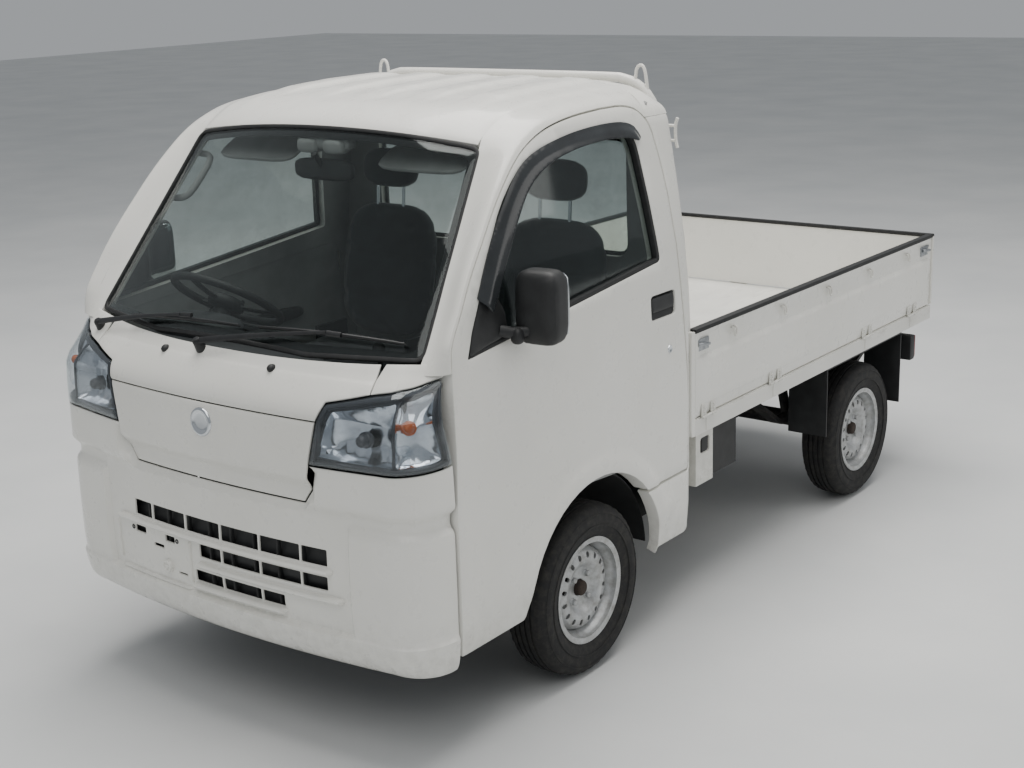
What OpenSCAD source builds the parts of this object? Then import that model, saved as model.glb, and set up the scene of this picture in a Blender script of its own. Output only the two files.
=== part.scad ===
// Small forward-control pickup truck (kei class). Millimetres, +Z up.
// Origin: ground level under the middle of the bounding box.
// The truck faces -Y; +X is its left side. Steering is on the right.

/* [Overall] */
// Overall width without mirrors
overall_w = 1475; // [1440:5:1480]
// Height of the cab roof crown
roof_z = 1748; // [1735:1:1760]
// Nose to front axle
front_overhang = 855; // [845:1:880]
// Front axle to rear axle
wheelbase = 1900; // [1850:10:2300]
// Front axle to the back of the cab
cab_rear = 560; // [555:1:600]

/* [Load bed] */
// Bed length inside
bed_l = 1925; // [1800:5:2400]
// Bed width inside
bed_w = 1410; // [1380:2:1412]
// Bed depth from the floor to the top of the gates
bed_depth = 295; // [250:5:340]
// Height of the bed floor above ground
bed_z = 652; // [645:1:670]
// Space between cab and bed inside, with the front wall of the bed
bed_gap = 29.5; // [28:0.5:60]
// Thickness of the side gates
gate_t = 26; // [22:1:26]
// Thickness of the tailgate
tail_t = 19; // [17:1:22]
// Radius of the hinge barrels of the gates
barrel_r = 4; // [3.5:0.1:4.5]
// Radius of the hinge pins of the gates
pin_r = 2.4; // [2:0.1:2.8]
// Radial clearance of a hinge pin in its barrel
pin_fit = 0.05; // [0.02:0.01:0.1]

/* [Cab] */
// Thickness of the cab walls
wall = 45; // [40:1:50]
// Thickness of a door
door_t = 50; // [46:1:54]
// Shut gap round a door
door_gap = 6; // [5.5:0.5:8]
// Thickness of the outer front covers
cover_t = 20; // [16:1:24]
// Thickness of the glass
glass_t = 5; // [4:0.5:6]
// Distance of a door hinge axis behind the front axle line, negative is ahead
hinge_y = -600; // [-606:1:-590]
// Distance of a door hinge axis inside the door's outer face
hinge_in = 9.5; // [9:0.5:12]
// Radius of a door hinge pin
door_pin_r = 3.5; // [3:0.1:4]

/* [Wheels] */
// Outer radius of a tyre
tyre_r = 268; // [255:1:275]
// Width of a tyre
tyre_w = 145; // [135:1:150]
// Radius of the bead seat, half of twelve inches
bead_r = 152.4; // [152.4:0.1:152.4]
// Distance between the tyre centres of the front axle
track_f = 1305; // [1290:1:1310]
// Distance between the tyre centres of the rear axle
track_r = 1300; // [1290:1:1310]
// Pitch circle diameter of the wheel nuts
nut_pcd = 100; // [100:1:100]
// Wheel nuts of a wheel
nut_count = 4; // [4:1:4]
// Radius of the centre hole of a wheel
hub_bore_r = 27; // [25:0.5:30]
// Vent holes of a wheel
vents = 16; // [12:1:16]
// Radius of the steel stub inside a wheel bearing
stub_r = 15; // [12:0.5:17]
// Radial clearance in a wheel bearing
stub_fit = 0.05; // [0.02:0.01:0.1]

/* [Under the body] */
// Distance of a frame rail's middle from the middle plane
rail_x = 350; // [330:5:355]
// Width of a frame rail
rail_w = 60; // [50:2:64]
// Height of a frame rail
rail_h = 90; // [70:5:95]
// Distance of a leaf spring from the middle plane
leaf_x = 470; // [460:2:480]
// Distance of the lower ball joint from the middle plane
ball_x = 572; // [560:1:574]
// Tilt of the steering axis in degrees
kingpin_tilt = 8.5; // [7:0.5:10]

/* [Cabin] */
// Distance of the seat middles from the middle plane
seat_x = 345; // [330:5:350]
// Width of a seat
seat_w = 460; // [430:5:470]
// Outer radius of the steering wheel
wheel_r = 185; // [175:1:190]

/* [Number plate] */
// Distance between the two plate bolts
plate_pitch = 210; // [210:1:210]
// Radius of a plate bolt hole
plate_hole_r = 3.3; // [3:0.1:3.5]
// Distance of the front plate's middle from the middle plane, negative is right
plate_x = -275; // [-280:5:-270]
// Height of the front plate's bolts
plate_z = 513; // [510:1:516]

/* [Hidden] */
$fa = 6;
hw = overall_w / 2;
overall_l = front_overhang + cab_rear + bed_gap + bed_l + tail_t + barrel_r + 2.5;
y_fa = -overall_l / 2 + front_overhang;
y_ra = y_fa + wheelbase;
y_bed = y_fa + cab_rear + bed_gap;
y_tail = y_bed + bed_l;
gate_x = bed_w / 2;
gate_z0 = bed_z + 5;
gate_top = bed_z + bed_depth;
side_hx = gate_x + gate_t + 2.5;
tail_hy = y_tail + tail_t + 2.5;
hinge_z = bed_z;
ws_r = 2700;
ws_a = atan2(550, 445);
ball_z = 190;
arch_r = 350;
spare_z = bed_z - 227;
hinge_x = hw - hinge_in;
door_hinges = [480, 880];
col_a = 55;
sw_y = -400;
sw_z = 1130;

// Node to build, or all

// ---------- helpers ----------
module at_axle() translate([0, y_fa, 0]) children();
module at_rear() translate([0, y_ra, 0]) children();
module both() { children(); mirror([1, 0, 0]) children(); }
// outline in (y, z) drawn out along X
module along_x(x0, x1) translate([x0, 0, 0]) rotate([90, 0, 90])
  linear_extrude(x1 - x0) children();
// outline in (x, z) drawn out along Y
module along_y(y0, y1) translate([0, y1, 0]) rotate([90, 0, 0])
  linear_extrude(y1 - y0) children();
module box(x0, x1, y0, y1, z0, z1) translate([x0, y0, z0])
  cube([x1 - x0, y1 - y0, z1 - z0]);
module rod_x(x0, x1, y, z, r) translate([x0, y, z]) rotate([0, 90, 0])
  cylinder(h = x1 - x0, r = r);
module rod_y(y0, y1, x, z, r) translate([x, y0, z]) rotate([-90, 0, 0])
  cylinder(h = y1 - y0, r = r);
module rod_z(z0, z1, x, y, r) translate([x, y, z0]) cylinder(h = z1 - z0, r = r);
// straight round bar between two points
module bar(a, b, r) {
  d = b - a;
  l = norm(d);
  translate(a) rotate([0, acos(d[2] / l), atan2(d[1], d[0])]) cylinder(h = l, r = r);
}
// rounded rectangle in 2D
module rrect(x0, x1, y0, y1, r) {
  translate([x0 + r, y0]) square([x1 - x0 - 2 * r, y1 - y0]);
  translate([x0, y0 + r]) square([x1 - x0, y1 - y0 - 2 * r]);
  for (x = [x0 + r, x1 - r], y = [y0 + r, y1 - r]) translate([x, y]) circle(r = r);
}

// ---------- cab outlines, measured from the front axle ----------
rz = roof_z - 1748;
function side_pts() = [[-795, 258], [-832, 288], [-848, 350], [-front_overhang, 430],
  [-front_overhang, 560], [-851, 700], [-847, 850], [-843, 930], [-836, 1000],
  [-822, 1050], [-800, 1080], [-748, 1108], [-318, 1650], [-290, 1680 + rz],
  [-245, 1703 + rz], [-160, 1721 + rz], [0, 1737 + rz], [200, 1746 + rz],
  [400, 1748 + rz], [490, 1746 + rz], [525, 1736 + rz], [542, 1712 + rz],
  [cab_rear - 15, 1300], [cab_rear - 4, 1100], [cab_rear, 950], [cab_rear, 300],
  [cab_rear - 20, 285], [-640, 258]];
function half_front() = [[hw - 40, 255], [hw - 12, 300], [hw - 2, 380], [hw, 500],
  [hw, 900], [hw - 2, 1050], [hw - 6, 1140], [hw - 15, 1250], [hw - 36, 1400],
  [hw - 58, 1530], [hw - 74, 1620], [hw - 89, 1670 + rz], [hw - 114, 1705 + rz],
  [hw - 152, 1730 + rz], [hw - 205, 1743 + rz], [hw - 300, 1749 + rz], [0, 1750 + rz]];
function mir(p) = [for (i = [len(p) - 1:-1:0]) if (p[i][0] > 0) [-p[i][0], p[i][1]]];
// nose curve in plan
function nose_x(t) = t < 8 ? t * 76 : 608 + (hw - 608) * sin((t - 8) * 11.25);
function nose_y(t) = t < 8 ? -front_overhang + 46 * pow(t * 76 / 608, 2)
  : -front_overhang + 46 + 150 * (1 - cos((t - 8) * 11.25));
function half_plan() = concat([for (t = [0:16]) [nose_x(t), nose_y(t)]],
  [[hw, cab_rear - 30], [hw - 8, cab_rear - 8], [hw - 26, cab_rear]]);

module side_2d(d) offset(delta = -d) polygon(side_pts());
module front_2d(d) offset(delta = -d) polygon(concat(half_front(), mir(half_front())));
module plan_2d(d) offset(delta = -d) polygon(concat(half_plan(), mir(half_plan())));
// the whole cab as one solid, d millimetres inside its outer face
module cab_solid(d) at_axle() intersection() {
  along_x(-hw, hw) side_2d(d);
  along_y(-900, 700) front_2d(d);
  translate([0, 0, 200]) linear_extrude(1600) plan_2d(d);
  translate([0, -748, 1108]) rotate([-(90 - ws_a), 0, 0])
    translate([0, ws_r, -1900]) cylinder(h = 4200, r = ws_r - d, $fn = 240);
}
module shell(d0, d1) difference() { cab_solid(d0); cab_solid(d1); }

// door opening, measured from the front axle
function door_pts() = [[-639, 300], [-639, 700], [-633, 858], [-636, 1060],
  [-626, 1160], [-578, 1235], [-520, 1320], [-440, 1412], [-351, 1514], [-247, 1600],
  [-160, 1640], [-60, 1667], [60, 1682], [205, 1689], [310, 1687], [375, 1672],
  [415, 1642], [440, 1600], [463, 1500], [478, 1400], [492, 1250], [503, 1100],
  [530, 866], [545, 700], [545, 500], [270, 500]];
function door_arch() = [for (a = [46:12:166]) [15 + arch_r * cos(a), 275 + arch_r * sin(a)]];
module door_2d() polygon(concat(door_pts(), door_arch(), [[-345, 300]]));
// opening in the body, which runs into the wheel arch
module door_open_2d() polygon(concat(door_pts(), [[200, 330], [100, 290], [-345, 290],
  [-639, 290]]));
// layer of the side that a door takes up
module side_layer(d0, d1) along_y(-900, 700) difference() { front_2d(d0); front_2d(d1); }
function win_pts() = [[-560, 1120], [-535, 1185], [-448, 1336], [-364, 1462],
  [-300, 1525], [-248, 1560], [-150, 1598], [0, 1619], [150, 1628], [265, 1625],
  [315, 1608], [343, 1570], [362, 1440], [380, 1300], [390, 1214]];
module win_2d() polygon(win_pts());
// windshield outline in (x, distance up the slope)
function ws_half() = [[642, 83], [557, 700], [500, 706], [300, 711]];
module ws_2d(d) offset(delta = -d) polygon(concat([[300, 22], [450, 45], [590, 72]],
  ws_half(), [[0, 713]], mir(ws_half()), [[-590, 72], [-450, 45], [-300, 22], [0, 8]]));
module ws_cut(d) at_axle() translate([0, -748, 1108]) rotate([ws_a, 0, 0])
  translate([0, 0, -260]) linear_extrude(340) ws_2d(d);
module door_cut(d) at_axle() both() intersection() {
  along_x(540, 800) offset(delta = d) door_open_2d();
  side_layer(-5, door_t + door_gap + 12);
}
module front_zone() box(-800, 800, y_fa - 900, y_fa - 560, 200, 1130);
module arch_cut() at_axle() both() intersection() {
  rod_x(400, 800, 15, 275, arch_r);
  box(390, 810, -400, 400, 0, 640);
}

// ---------- cab ----------
module cab_side() color("ivory") difference() {
  intersection() { shell(0, wall); box(0, hw, y_fa - 900, y_fa + 700, 240, 1800); }
  front_zone();
  ws_cut(0);
  door_cut(0);
  arch_cut();
  box(-10, 602, y_fa - 900, y_fa + 700, 1640, 1900);
  box(-10, 602, y_fa + 300, y_fa + 700, 200, 1641);
  box(-10, 602, y_fa - 900, y_fa + 700, 200, 1000);
  box(-10, 800, y_fa - 900, y_fa, 200, 500);
}
module cab_side_left() cab_side();
module cab_side_right() mirror([1, 0, 0]) cab_side();

module cab_roof() color("ivory") difference() {
  intersection() { shell(0, wall); box(-602, 602, y_fa - 700, y_fa + 700, 1640, 1900); }
  ws_cut(0);
  door_cut(0);
}
module cab_back_panel() color("ivory") difference() {
  intersection() { shell(0, wall); box(-602, 602, y_fa + 300, y_fa + 700, 640, 1640); }
  along_y(y_fa + 400, y_fa + 700) rrect(-520, 520, 1180, 1560, 50);
}
module rear_window_glass() color("slategray", 0.5)
  along_y(y_fa + cab_rear - 40, y_fa + cab_rear - 40 + glass_t) rrect(-520, 520, 1180, 1560, 50);

module windshield_glass() color("slategray", 0.5) intersection() {
  shell(4, 4 + glass_t);
  ws_cut(0);
}

module headlight_2d() polygon([[386, 843], [413, 966], [432, 1016], [565, 1046],
  [649, 1063], [737, 1089], [760, 1092], [760, 856], [712, 850], [654, 848]]);
module headlight_cut(d) at_axle() both() along_y(-900, -600) offset(delta = d) headlight_2d();
module garnish_2d() polygon([[-345, 727], [345, 727], [372, 765], [386, 843],
  [413, 966], [-413, 966], [-386, 843], [-372, 765]]);
module garnish_cut() at_axle() along_y(-900, -700) garnish_2d();
// everything that the outer front covers take up
module cover_cut() at_axle() along_y(-900, -540) polygon([[-800, 200], [800, 200],
  [800, 857], [760, 856], [712, 850], [654, 848], [386, 843], [413, 966], [-413, 966],
  [-386, 843], [-654, 848], [-712, 850], [-760, 856], [-800, 857]]);

module door_hinge_arms() at_axle() both() for (z = door_hinges) {
  box(hinge_x - 66, hinge_x - 22, -660, -644, z - 15, z + 15);
  box(hinge_x - 66, hinge_x - 53, -660, hinge_y + 8, z - 15, z + 15);
  box(hinge_x - 66, hinge_x, hinge_y, hinge_y + 8, z - 15, z + 15);
  rod_z(z - 40, z + 40, hinge_x, hinge_y, door_pin_r);
}
module cab_front_panel() color("ivory") {
  door_hinge_arms();
  front_shell();
}
module front_shell() difference() {
  intersection() { shell(0, wall); front_zone(); }
  difference() { cover_cut(); cab_solid(cover_t); }
  ws_cut(0);
  door_cut(0);
  headlight_cut(0);
  box(-420, 420, y_fa - 860, y_fa - 700, 400, 620);
  box(-800, 800, y_fa - 640, y_fa, 200, 1000);
}
module front_garnish() color("ivory") {
  difference() {
    intersection() { shell(0, cover_t); garnish_cut(); }
    // recessed lower step
    at_axle() box(-352, 352, -900, -front_overhang + 12, 738, 792);
  }
  at_axle() translate([0, -843, 908]) rotate([90, 0, 0]) cylinder(h = 9, r = 42);
}
// grille cells, their left and right edges in each row
function row1() = [[-360, -284], [-273, -132], [-121, 16], [27, 170], [181, 322], [333, 418]];
function row2() = [[-68, 16], [27, 170], [181, 322], [333, 416]];
function row3() = [[-93, 16], [27, 170], [181, 258]];
module grille_2d() {
  for (c = row1()) translate([c[0], 558]) square([c[1] - c[0], 47]);
  for (c = row2()) translate([c[0], 488]) square([c[1] - c[0], 39]);
  for (c = row3()) translate([c[0], 408]) square([c[1] - c[0], 36]);
  translate([-369, 476]) square([38, 16]);
  translate([-223, 476]) square([38, 18]);
  translate([-217, 430]) circle(r = 14);
}
module front_bumper() color("ivory") difference() {
  union() {
    difference() {
      intersection() { shell(0, cover_t); difference() { cover_cut(); garnish_cut(); } }
      // the middle is set back between the corner blocks
      difference() {
        at_axle() box(-500, 500, -900, -800, 370, 690);
        cab_solid(10);
      }
      at_axle() along_y(-900, -790) grille_2d();
    }
    // flat bosses for the two plate bolts
    at_axle() for (x = [-plate_pitch / 2, plate_pitch / 2])
      box(plate_x + x - 14, plate_x + x + 14, -836, -816, plate_z - 14, plate_z + 14);
  }
  headlight_cut(0);
  door_cut(0);
  at_axle() for (x = [-plate_pitch / 2, plate_pitch / 2])
    rod_y(-900, -780, plate_x + x, plate_z, plate_hole_r);
}
module headlights() color("silver") difference() {
  intersection() { shell(0, wall); headlight_cut(0); }
  door_cut(0);
  garnish_cut();
  at_axle() both() box(hinge_x - 72, hinge_x + 20, -668, hinge_y, door_hinges[1] - 20,
    door_hinges[1] + 20);
}

module wipers() color("black") at_axle() {
  bar([-590, -668, 1078], [-590, -700, 1110], 13);
  bar([-590, -696, 1106], [-180, -728, 1150], 7);
  bar([-420, -711, 1134], [60, -731, 1160], 6);
  bar([-180, -728, 1150], [-180, -720, 1146], 6);
  bar([-75, -774, 1078], [-75, -793, 1108], 13);
  bar([-75, -790, 1104], [360, -703, 1167], 7);
  bar([120, -735, 1152], [587, -638, 1173], 6);
  bar([360, -703, 1167], [360, -688, 1162], 6);
}

module dash_2d() polygon([[-700, 760], [-560, 700], [-470, 760], [-450, 860],
  [-455, 960], [-500, 1040], [-600, 1062], [-735, 1062], [-760, 1030], [-760, 800]]);
module dashboard() color("dimgray") difference() {
  intersection() { at_axle() along_x(-655, 655) dash_2d(); cab_solid(wall + 0.5); }
  door_cut(12);
  on_column() translate([0, 0, -300]) cylinder(h = 330, r = 34.2);
}
module on_column() at_axle() translate([-seat_x, sw_y, sw_z])
  rotate([-(90 - col_a), 0, 0]) children();
module steering_column() color("black")
  on_column() translate([0, 0, -230]) cylinder(h = 198, r = 34);
module steering_wheel() color("black") on_column() {
    rotate_extrude() translate([wheel_r - 13, 0]) circle(r = 13);
    for (a = [20, 160, 270]) rotate([0, 0, a]) translate([40, -12, -16])
      cube([wheel_r - 52, 24, 12]);
    translate([0, 0, -31.7]) cylinder(h = 40, r = 55);
  }

module seat() color("dimgray") at_axle() {
  along_x(-seat_w / 2, seat_w / 2)
    polygon([[-150, 725], [-165, 840], [-120, 868], [250, 850], [330, 850], [330, 725]]);
  along_x(-seat_w / 2 + 15, seat_w / 2 - 15)
    polygon([[300, 850], [250, 870], [345, 1330], [385, 1345], [425, 1330], [400, 850]]);
  along_x(-130, 130)
    polygon([[345, 1365], [340, 1470], [360, 1510], [395, 1510], [430, 1490], [425, 1365]]);
  for (x = [-60, 60]) bar([x, 385, 1325], [x, 388, 1385], 6);
}
module driver_seat() translate([-seat_x, 0, 0]) seat();
module passenger_seat() translate([seat_x, 0, 0]) seat();

// sheet-steel floor: foot well, riser and seat deck
module cab_floor() color("gray") intersection() {
  union() {
    at_axle() along_x(-610, 610) polygon([[-820, 380], [-330, 380], [-330, 705],
      [515, 705], [515, 725], [-350, 725], [-350, 400], [-820, 400]]);
    // sills in front of the wheels, edges of the seat deck and rear corners
    at_axle() both() box(610, 660, -620, -352, 330, 400);
    at_axle() both() box(610, 655, -360, 515, 705, 725);
    at_axle() both() box(520, 610, 400, 505, 340, 705);
  }
  cab_solid(wall + 0.3);
}

// ---------- doors ----------
module door_body() color("ivory") {
  difference() {
    intersection() {
      cab_solid(0);
      at_axle() side_layer(-1, door_t);
      at_axle() along_x(540, hw + 1) offset(delta = -door_gap) door_2d();
    }
    at_axle() along_x(560, 800) win_2d();
    // pockets and bores for the two hinges
    at_axle() for (z = door_hinges) {
      box(hinge_x - 70, hinge_x + 4.5, hinge_y - 60, hinge_y + 13, z - 21, z + 21);
      rod_z(z - 46, z + 46, hinge_x, hinge_y, door_pin_r + pin_fit);
    }
    // handle recess
    at_axle() along_x(hw - 22, 800) rrect(324, 462, 1036, 1112, 12);
  }
  // pull handle
  at_axle() along_x(hw - 22, hw - 3) rrect(332, 454, 1062, 1100, 12);
  // key cylinder
  at_axle() rod_x(hw - 30, hw + 2, 425, 929, 12);
}
module door_glass() color("slategray", 0.5) intersection() {
  cab_solid(22);
  at_axle() side_layer(22, 22 + glass_t);
  at_axle() along_x(560, 800) win_2d();
}
module visor_2d() polygon([[-512, 1290], [-347, 1503], [-250, 1588], [-150, 1628],
  [0, 1650], [150, 1660], [280, 1657], [340, 1640], [372, 1606], [340, 1600],
  [280, 1612], [150, 1614], [0, 1602], [-130, 1578], [-230, 1530], [-320, 1440],
  [-473, 1250]]);
module visor() color("dimgray", 0.7) intersection() {
  cab_solid(-9);
  at_axle() side_layer(-9, -0.3);
  at_axle() along_x(560, hw) visor_2d();
}
module left_door() door_body();
module left_door_glass() door_glass();
module left_visor() visor();
module right_door() mirror([1, 0, 0]) door_body();
module right_door_glass() mirror([1, 0, 0]) door_glass();
module right_visor() mirror([1, 0, 0]) visor();

// mirror base on the door's corner with a housing
module mirror_base() intersection() {
  cab_solid(-14);
  at_axle() side_layer(-14, -0.2);
  at_axle() along_x(600, 800) polygon([[-552, 1124], [-500, 1128], [-392, 1146], [-392, 1225],
    [-440, 1290], [-512, 1200]]);
}
module left_mirror() color("black") {
  mirror_base();
  at_axle() {
    bar([726, -420, 1170], [800, -345, 1185], 14);
    translate([800, -325, 1120]) linear_extrude(205)
      rrect(-60, 60, -32, 28, 20);
  }
}
module right_mirror() color("black") mirror([1, 0, 0]) {
  mirror_base();
  at_axle() {
    bar([726, -420, 1170], [785, -350, 1185], 14);
    translate([795, -290, 1120]) linear_extrude(205)
      rrect(-32, 28, -65, 65, 20);
  }
}

// ---------- load bed ----------
module bed_floor() color("ivory") difference() {
  union() {
    box(-gate_x - 20, gate_x + 20, y_bed, y_tail + 10, bed_z - 6, bed_z);
    both() box(gate_x - 15, side_hx - 4.5, y_bed, y_tail + 10, bed_z - 56, bed_z - 4);
    box(-gate_x + 15, gate_x - 15, y_tail - 30, y_tail + 13, bed_z - 56, bed_z - 6);
    for (i = [0:5]) box(-gate_x + 15, gate_x - 15, y_bed + 60 + i * (bed_l - 220) / 5,
      y_bed + 110 + i * (bed_l - 220) / 5, bed_z - 52, bed_z - 6);
    for (y = side_hinges()) both() {
      box(side_hx - 5, side_hx - 2.5, y - 14, y + 14, bed_z - 50, bed_z);
      rod_y(y - 14, y + 14, side_hx, hinge_z, barrel_r);
      rod_y(y - 44, y + 44, side_hx, hinge_z, pin_r);
    }
    for (x = tail_hinges()) {
      box(x - 14, x + 14, tail_hy - 10, tail_hy - 2.5, bed_z - 50, bed_z);
      rod_x(x - 14, x + 14, tail_hy, hinge_z, barrel_r);
      rod_x(x - 44, x + 44, tail_hy, hinge_z, pin_r);
    }
    // beads of the floor sheet
    for (i = [-4:4]) box(i * 150 - 22, i * 150 + 22, y_bed + 40, y_tail - 20,
      bed_z - 1, bed_z + 3);
  }
  // wheel-house free space above each rear tyre
  at_rear() both() box(gate_x - 140, gate_x - 12, -200, 200, bed_z - 100, bed_z - 20);
}
function side_hinges() = [for (f = [0.042, 0.285, 0.68, 0.905]) y_bed + 5 + f * (bed_l - 12)];
function tail_hinges() = [-560, -190, 190, 560];
module bed_headboard() color("ivory") {
  box(-side_hx + 4, side_hx - 4, y_bed - 21, y_bed, bed_z - 56, gate_top);
  both() box(gate_x - 30, gate_x + gate_t, y_bed - 21, y_bed, bed_z, gate_top);
}
module gate_section(t, h) polygon([[0, 0], [t, 0], [t, 22], [t - 5, 27], [t - 5, 34],
  [t, 40], [t, h - 100], [t - 12, h - 88], [t - 12, h - 22], [t - 3, h - 12],
  [t - 3, h], [0, h], [0, h - 20], [5, h - 24], [5, h - 70], [0, h - 76], [0, 60],
  [5, 55], [5, 24], [0, 20]]);
module side_gate() color("ivory") {
  translate([gate_x, 0, gate_z0]) along_y(y_bed + 5, y_tail - 6)
    gate_section(gate_t, gate_top - gate_z0);
  // closed ends of the pressing
  for (y = [y_bed + 5, y_tail - 6 - 26])
    box(gate_x, gate_x + gate_t - 3, y, y + 26, gate_z0, gate_top);
  for (y = side_hinges(), s = [-1, 1]) difference() {
    union() {
      rod_y(y + s * 29.5 - 14, y + s * 29.5 + 14, side_hx, hinge_z, barrel_r);
      box(side_hx - 2.5, side_hx + 1.5, y + s * 29.5 - 14, y + s * 29.5 + 14,
        hinge_z, gate_z0 + 30);
    }
    rod_y(y - 60, y + 60, side_hx, hinge_z, pin_r + pin_fit);
  }
  // rope hooks in the upper band
  for (i = [0:4]) box(gate_x + gate_t - 13, gate_x + gate_t, y_bed + 260 + i * (bed_l - 500) / 4,
    y_bed + 285 + i * (bed_l - 500) / 4, gate_top - 70, gate_top - 36);
  // latches at both ends
  for (y = [y_bed + 14, y_tail - 96])
    box(gate_x + gate_t - 13, gate_x + gate_t - 1, y, y + 80, gate_top - 66, gate_top - 40);
}
module left_gate() side_gate();
module right_gate() mirror([1, 0, 0]) side_gate();
module tailgate() color("ivory") {
  difference() {
    box(-gate_x - gate_t, gate_x + gate_t, y_tail, y_tail + tail_t, gate_z0, gate_top);
    for (i = [0:2]) box(-gate_x + 60, gate_x - 60, y_tail - 1, y_tail + 4,
      gate_z0 + 50 + i * 75, gate_z0 + 85 + i * 75);
    for (i = [0:1]) box(-gate_x + 40, gate_x - 40, y_tail + tail_t - 5, y_tail + tail_t + 1,
      gate_z0 + 40 + i * 120, gate_z0 + 120 + i * 120);
  }
  for (x = tail_hinges(), s = [-1, 1]) difference() {
    union() {
      rod_x(x + s * 29.5 - 14, x + s * 29.5 + 14, tail_hy, hinge_z, barrel_r);
      box(x + s * 29.5 - 14, x + s * 29.5 + 14, tail_hy - 2.5, tail_hy + 1.5,
        hinge_z, gate_z0 + 30);
    }
    rod_x(x - 60, x + 60, tail_hy, hinge_z, pin_r + pin_fit);
  }
}

// frame over the back of the cab, with loops and rope hooks
module guard_path() {
  polygon([[686, gate_top], [706, gate_top], [700, 1130], [687, 1238], [665, 1364],
    [645, 1460], [632, 1530], [616, 1620], [600, 1665], [572, 1705], [535, 1738],
    [490, 1753], [430, 1756], [0, 1758], [0, 1726], [430, 1724], [484, 1721],
    [518, 1709], [548, 1682], [572, 1648], [586, 1608], [602, 1524], [615, 1452],
    [636, 1357], [660, 1232], [674, 1126]]);
}
module roof_guard() color("ivory") {
  both() along_y(y_bed - 21, y_bed + 15) guard_path();
  both() for (s = [-1, 1])
    bar([535 + s * 18, y_bed - 3, 1728], [535 + s * 6, y_bed - 3, 1772], 5);
  both() bar([526, y_bed - 3, 1772], [544, y_bed - 3, 1772], 8);
  both() bar([622, y_bed - 3, 1570], [664, y_bed - 3, 1570], 5);
  both() bar([664, y_bed - 3, 1535], [664, y_bed - 3, 1605], 5);
}

// ---------- frame and running gear ----------
rail_z = bed_z - 52 - rail_h;
module frame_rails() color("darkslategray") both()
  along_x(rail_x - rail_w / 2, rail_x + rail_w / 2)
    polygon([[y_fa - 730, 306], [y_fa - 250, 306], [y_fa - 100, 400], [y_fa + 420, 400],
      [y_fa + 640, rail_z], [y_tail - 30, rail_z], [y_tail - 30, rail_z + rail_h],
      [y_fa + 600, rail_z + rail_h], [y_fa + 390, 400 + rail_h],
      [y_fa - 140, 400 + rail_h], [y_fa - 290, 380], [y_fa - 730, 380]]);
module frame_crossmembers() color("darkslategray") {
  at_axle() rod_x(-rail_x + rail_w / 2, rail_x - rail_w / 2, -690, 335, 28);
  at_axle() box(-rail_x + rail_w / 2, rail_x - rail_w / 2, -60, 0, 405, 475);
  for (y = [y_fa + 700, y_ra - 500, y_ra + 60, y_ra + 300, y_tail - 90])
    box(-rail_x + rail_w / 2, rail_x - rail_w / 2, y, y + 50, rail_z + 10, rail_z + rail_h);
  // outriggers that carry the bed and the cab
  for (y = [y_fa + 700, y_ra - 500, y_ra + 345, y_tail - 90]) both()
    box(rail_x + rail_w / 2, 640, y, y + 40, rail_z + 40, rail_z + rail_h);
  // cab mounts
  at_axle() both() box(rail_x + rail_w / 2, 560, -600, -550, 340, 380);
  at_axle() both() box(rail_x + rail_w / 2, 520, 425, 485, 400, 470);
}
module engine() color("gray") at_axle() {
  box(-230, 230, 40, 420, 330, 690);
  for (s = [-1, 1]) box(s * (230 + rail_x - rail_w / 2) / 2 - (rail_x - rail_w / 2 - 230) / 2,
    s * (230 + rail_x - rail_w / 2) / 2 + (rail_x - rail_w / 2 - 230) / 2, 200, 260, 420, 470);
}
module gearbox_and_propshaft() color("gray") {
  at_axle() along_x(-110, 110) polygon([[420, 330], [600, 370], [760, 390], [760, 500],
    [600, 530], [420, 560]]);
  bar([0, y_fa + 760, 440], [0, y_ra - 131, 290], 30);
}
module fuel_tank() color("dimgray")
  box(-680, -rail_x - rail_w / 2, y_fa + 720, y_fa + 1230, 330, 530);
module battery_box() color("dimgray") {
  box(rail_x + rail_w / 2, 620, y_fa + 820, y_fa + 1060, 360, 560);
}
module side_brackets() color("ivory") both() difference() {
  union() {
    box(gate_x + 9, gate_x + 15, y_fa + 612, y_fa + 722, 415, bed_z - 56);
    box(gate_x - 20, gate_x + 15, y_fa + 612, y_fa + 618, 415, bed_z - 56);
  }
  at_axle() along_x(gate_x, gate_x + 30) rrect(640, 700, 520, 575, 12);
}
module exhaust() color("dimgray") {
  rod_y(y_fa + 900, y_fa + 1380, rail_x - 90, 400, 75);
  rod_y(y_fa + 300, y_fa + 900, rail_x - 90, 400, 22);
  bar([rail_x - 90, y_fa + 1380, 400], [rail_x - 90, y_fa + 1480, 420], 20);
  for (y = [960, 1330]) box(rail_x - 100, rail_x - rail_w / 2, y_fa + y, y_fa + y + 8, 460, rail_z + 40);
  box(230, rail_x - 90, y_fa + 302, y_fa + 320, 390, 410);
}
module front_arch_liners() color("black") at_axle() both() difference() {
  intersection() {
    rod_x(415, hw - door_t - 8, 15, 275, arch_r);
    box(400, 800, -400, 400, 300, 680);
  }
  rod_x(405, hw, 15, 275, arch_r - 5);
  box(570, 800, -400, -290, 300, 420);
  rod_z(500, 700, ball_x - 68, 0, 48);
}
module kingpin() at_axle() translate([ball_x, 0, ball_z]) rotate([0, -kingpin_tilt, 0])
  children();
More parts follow.
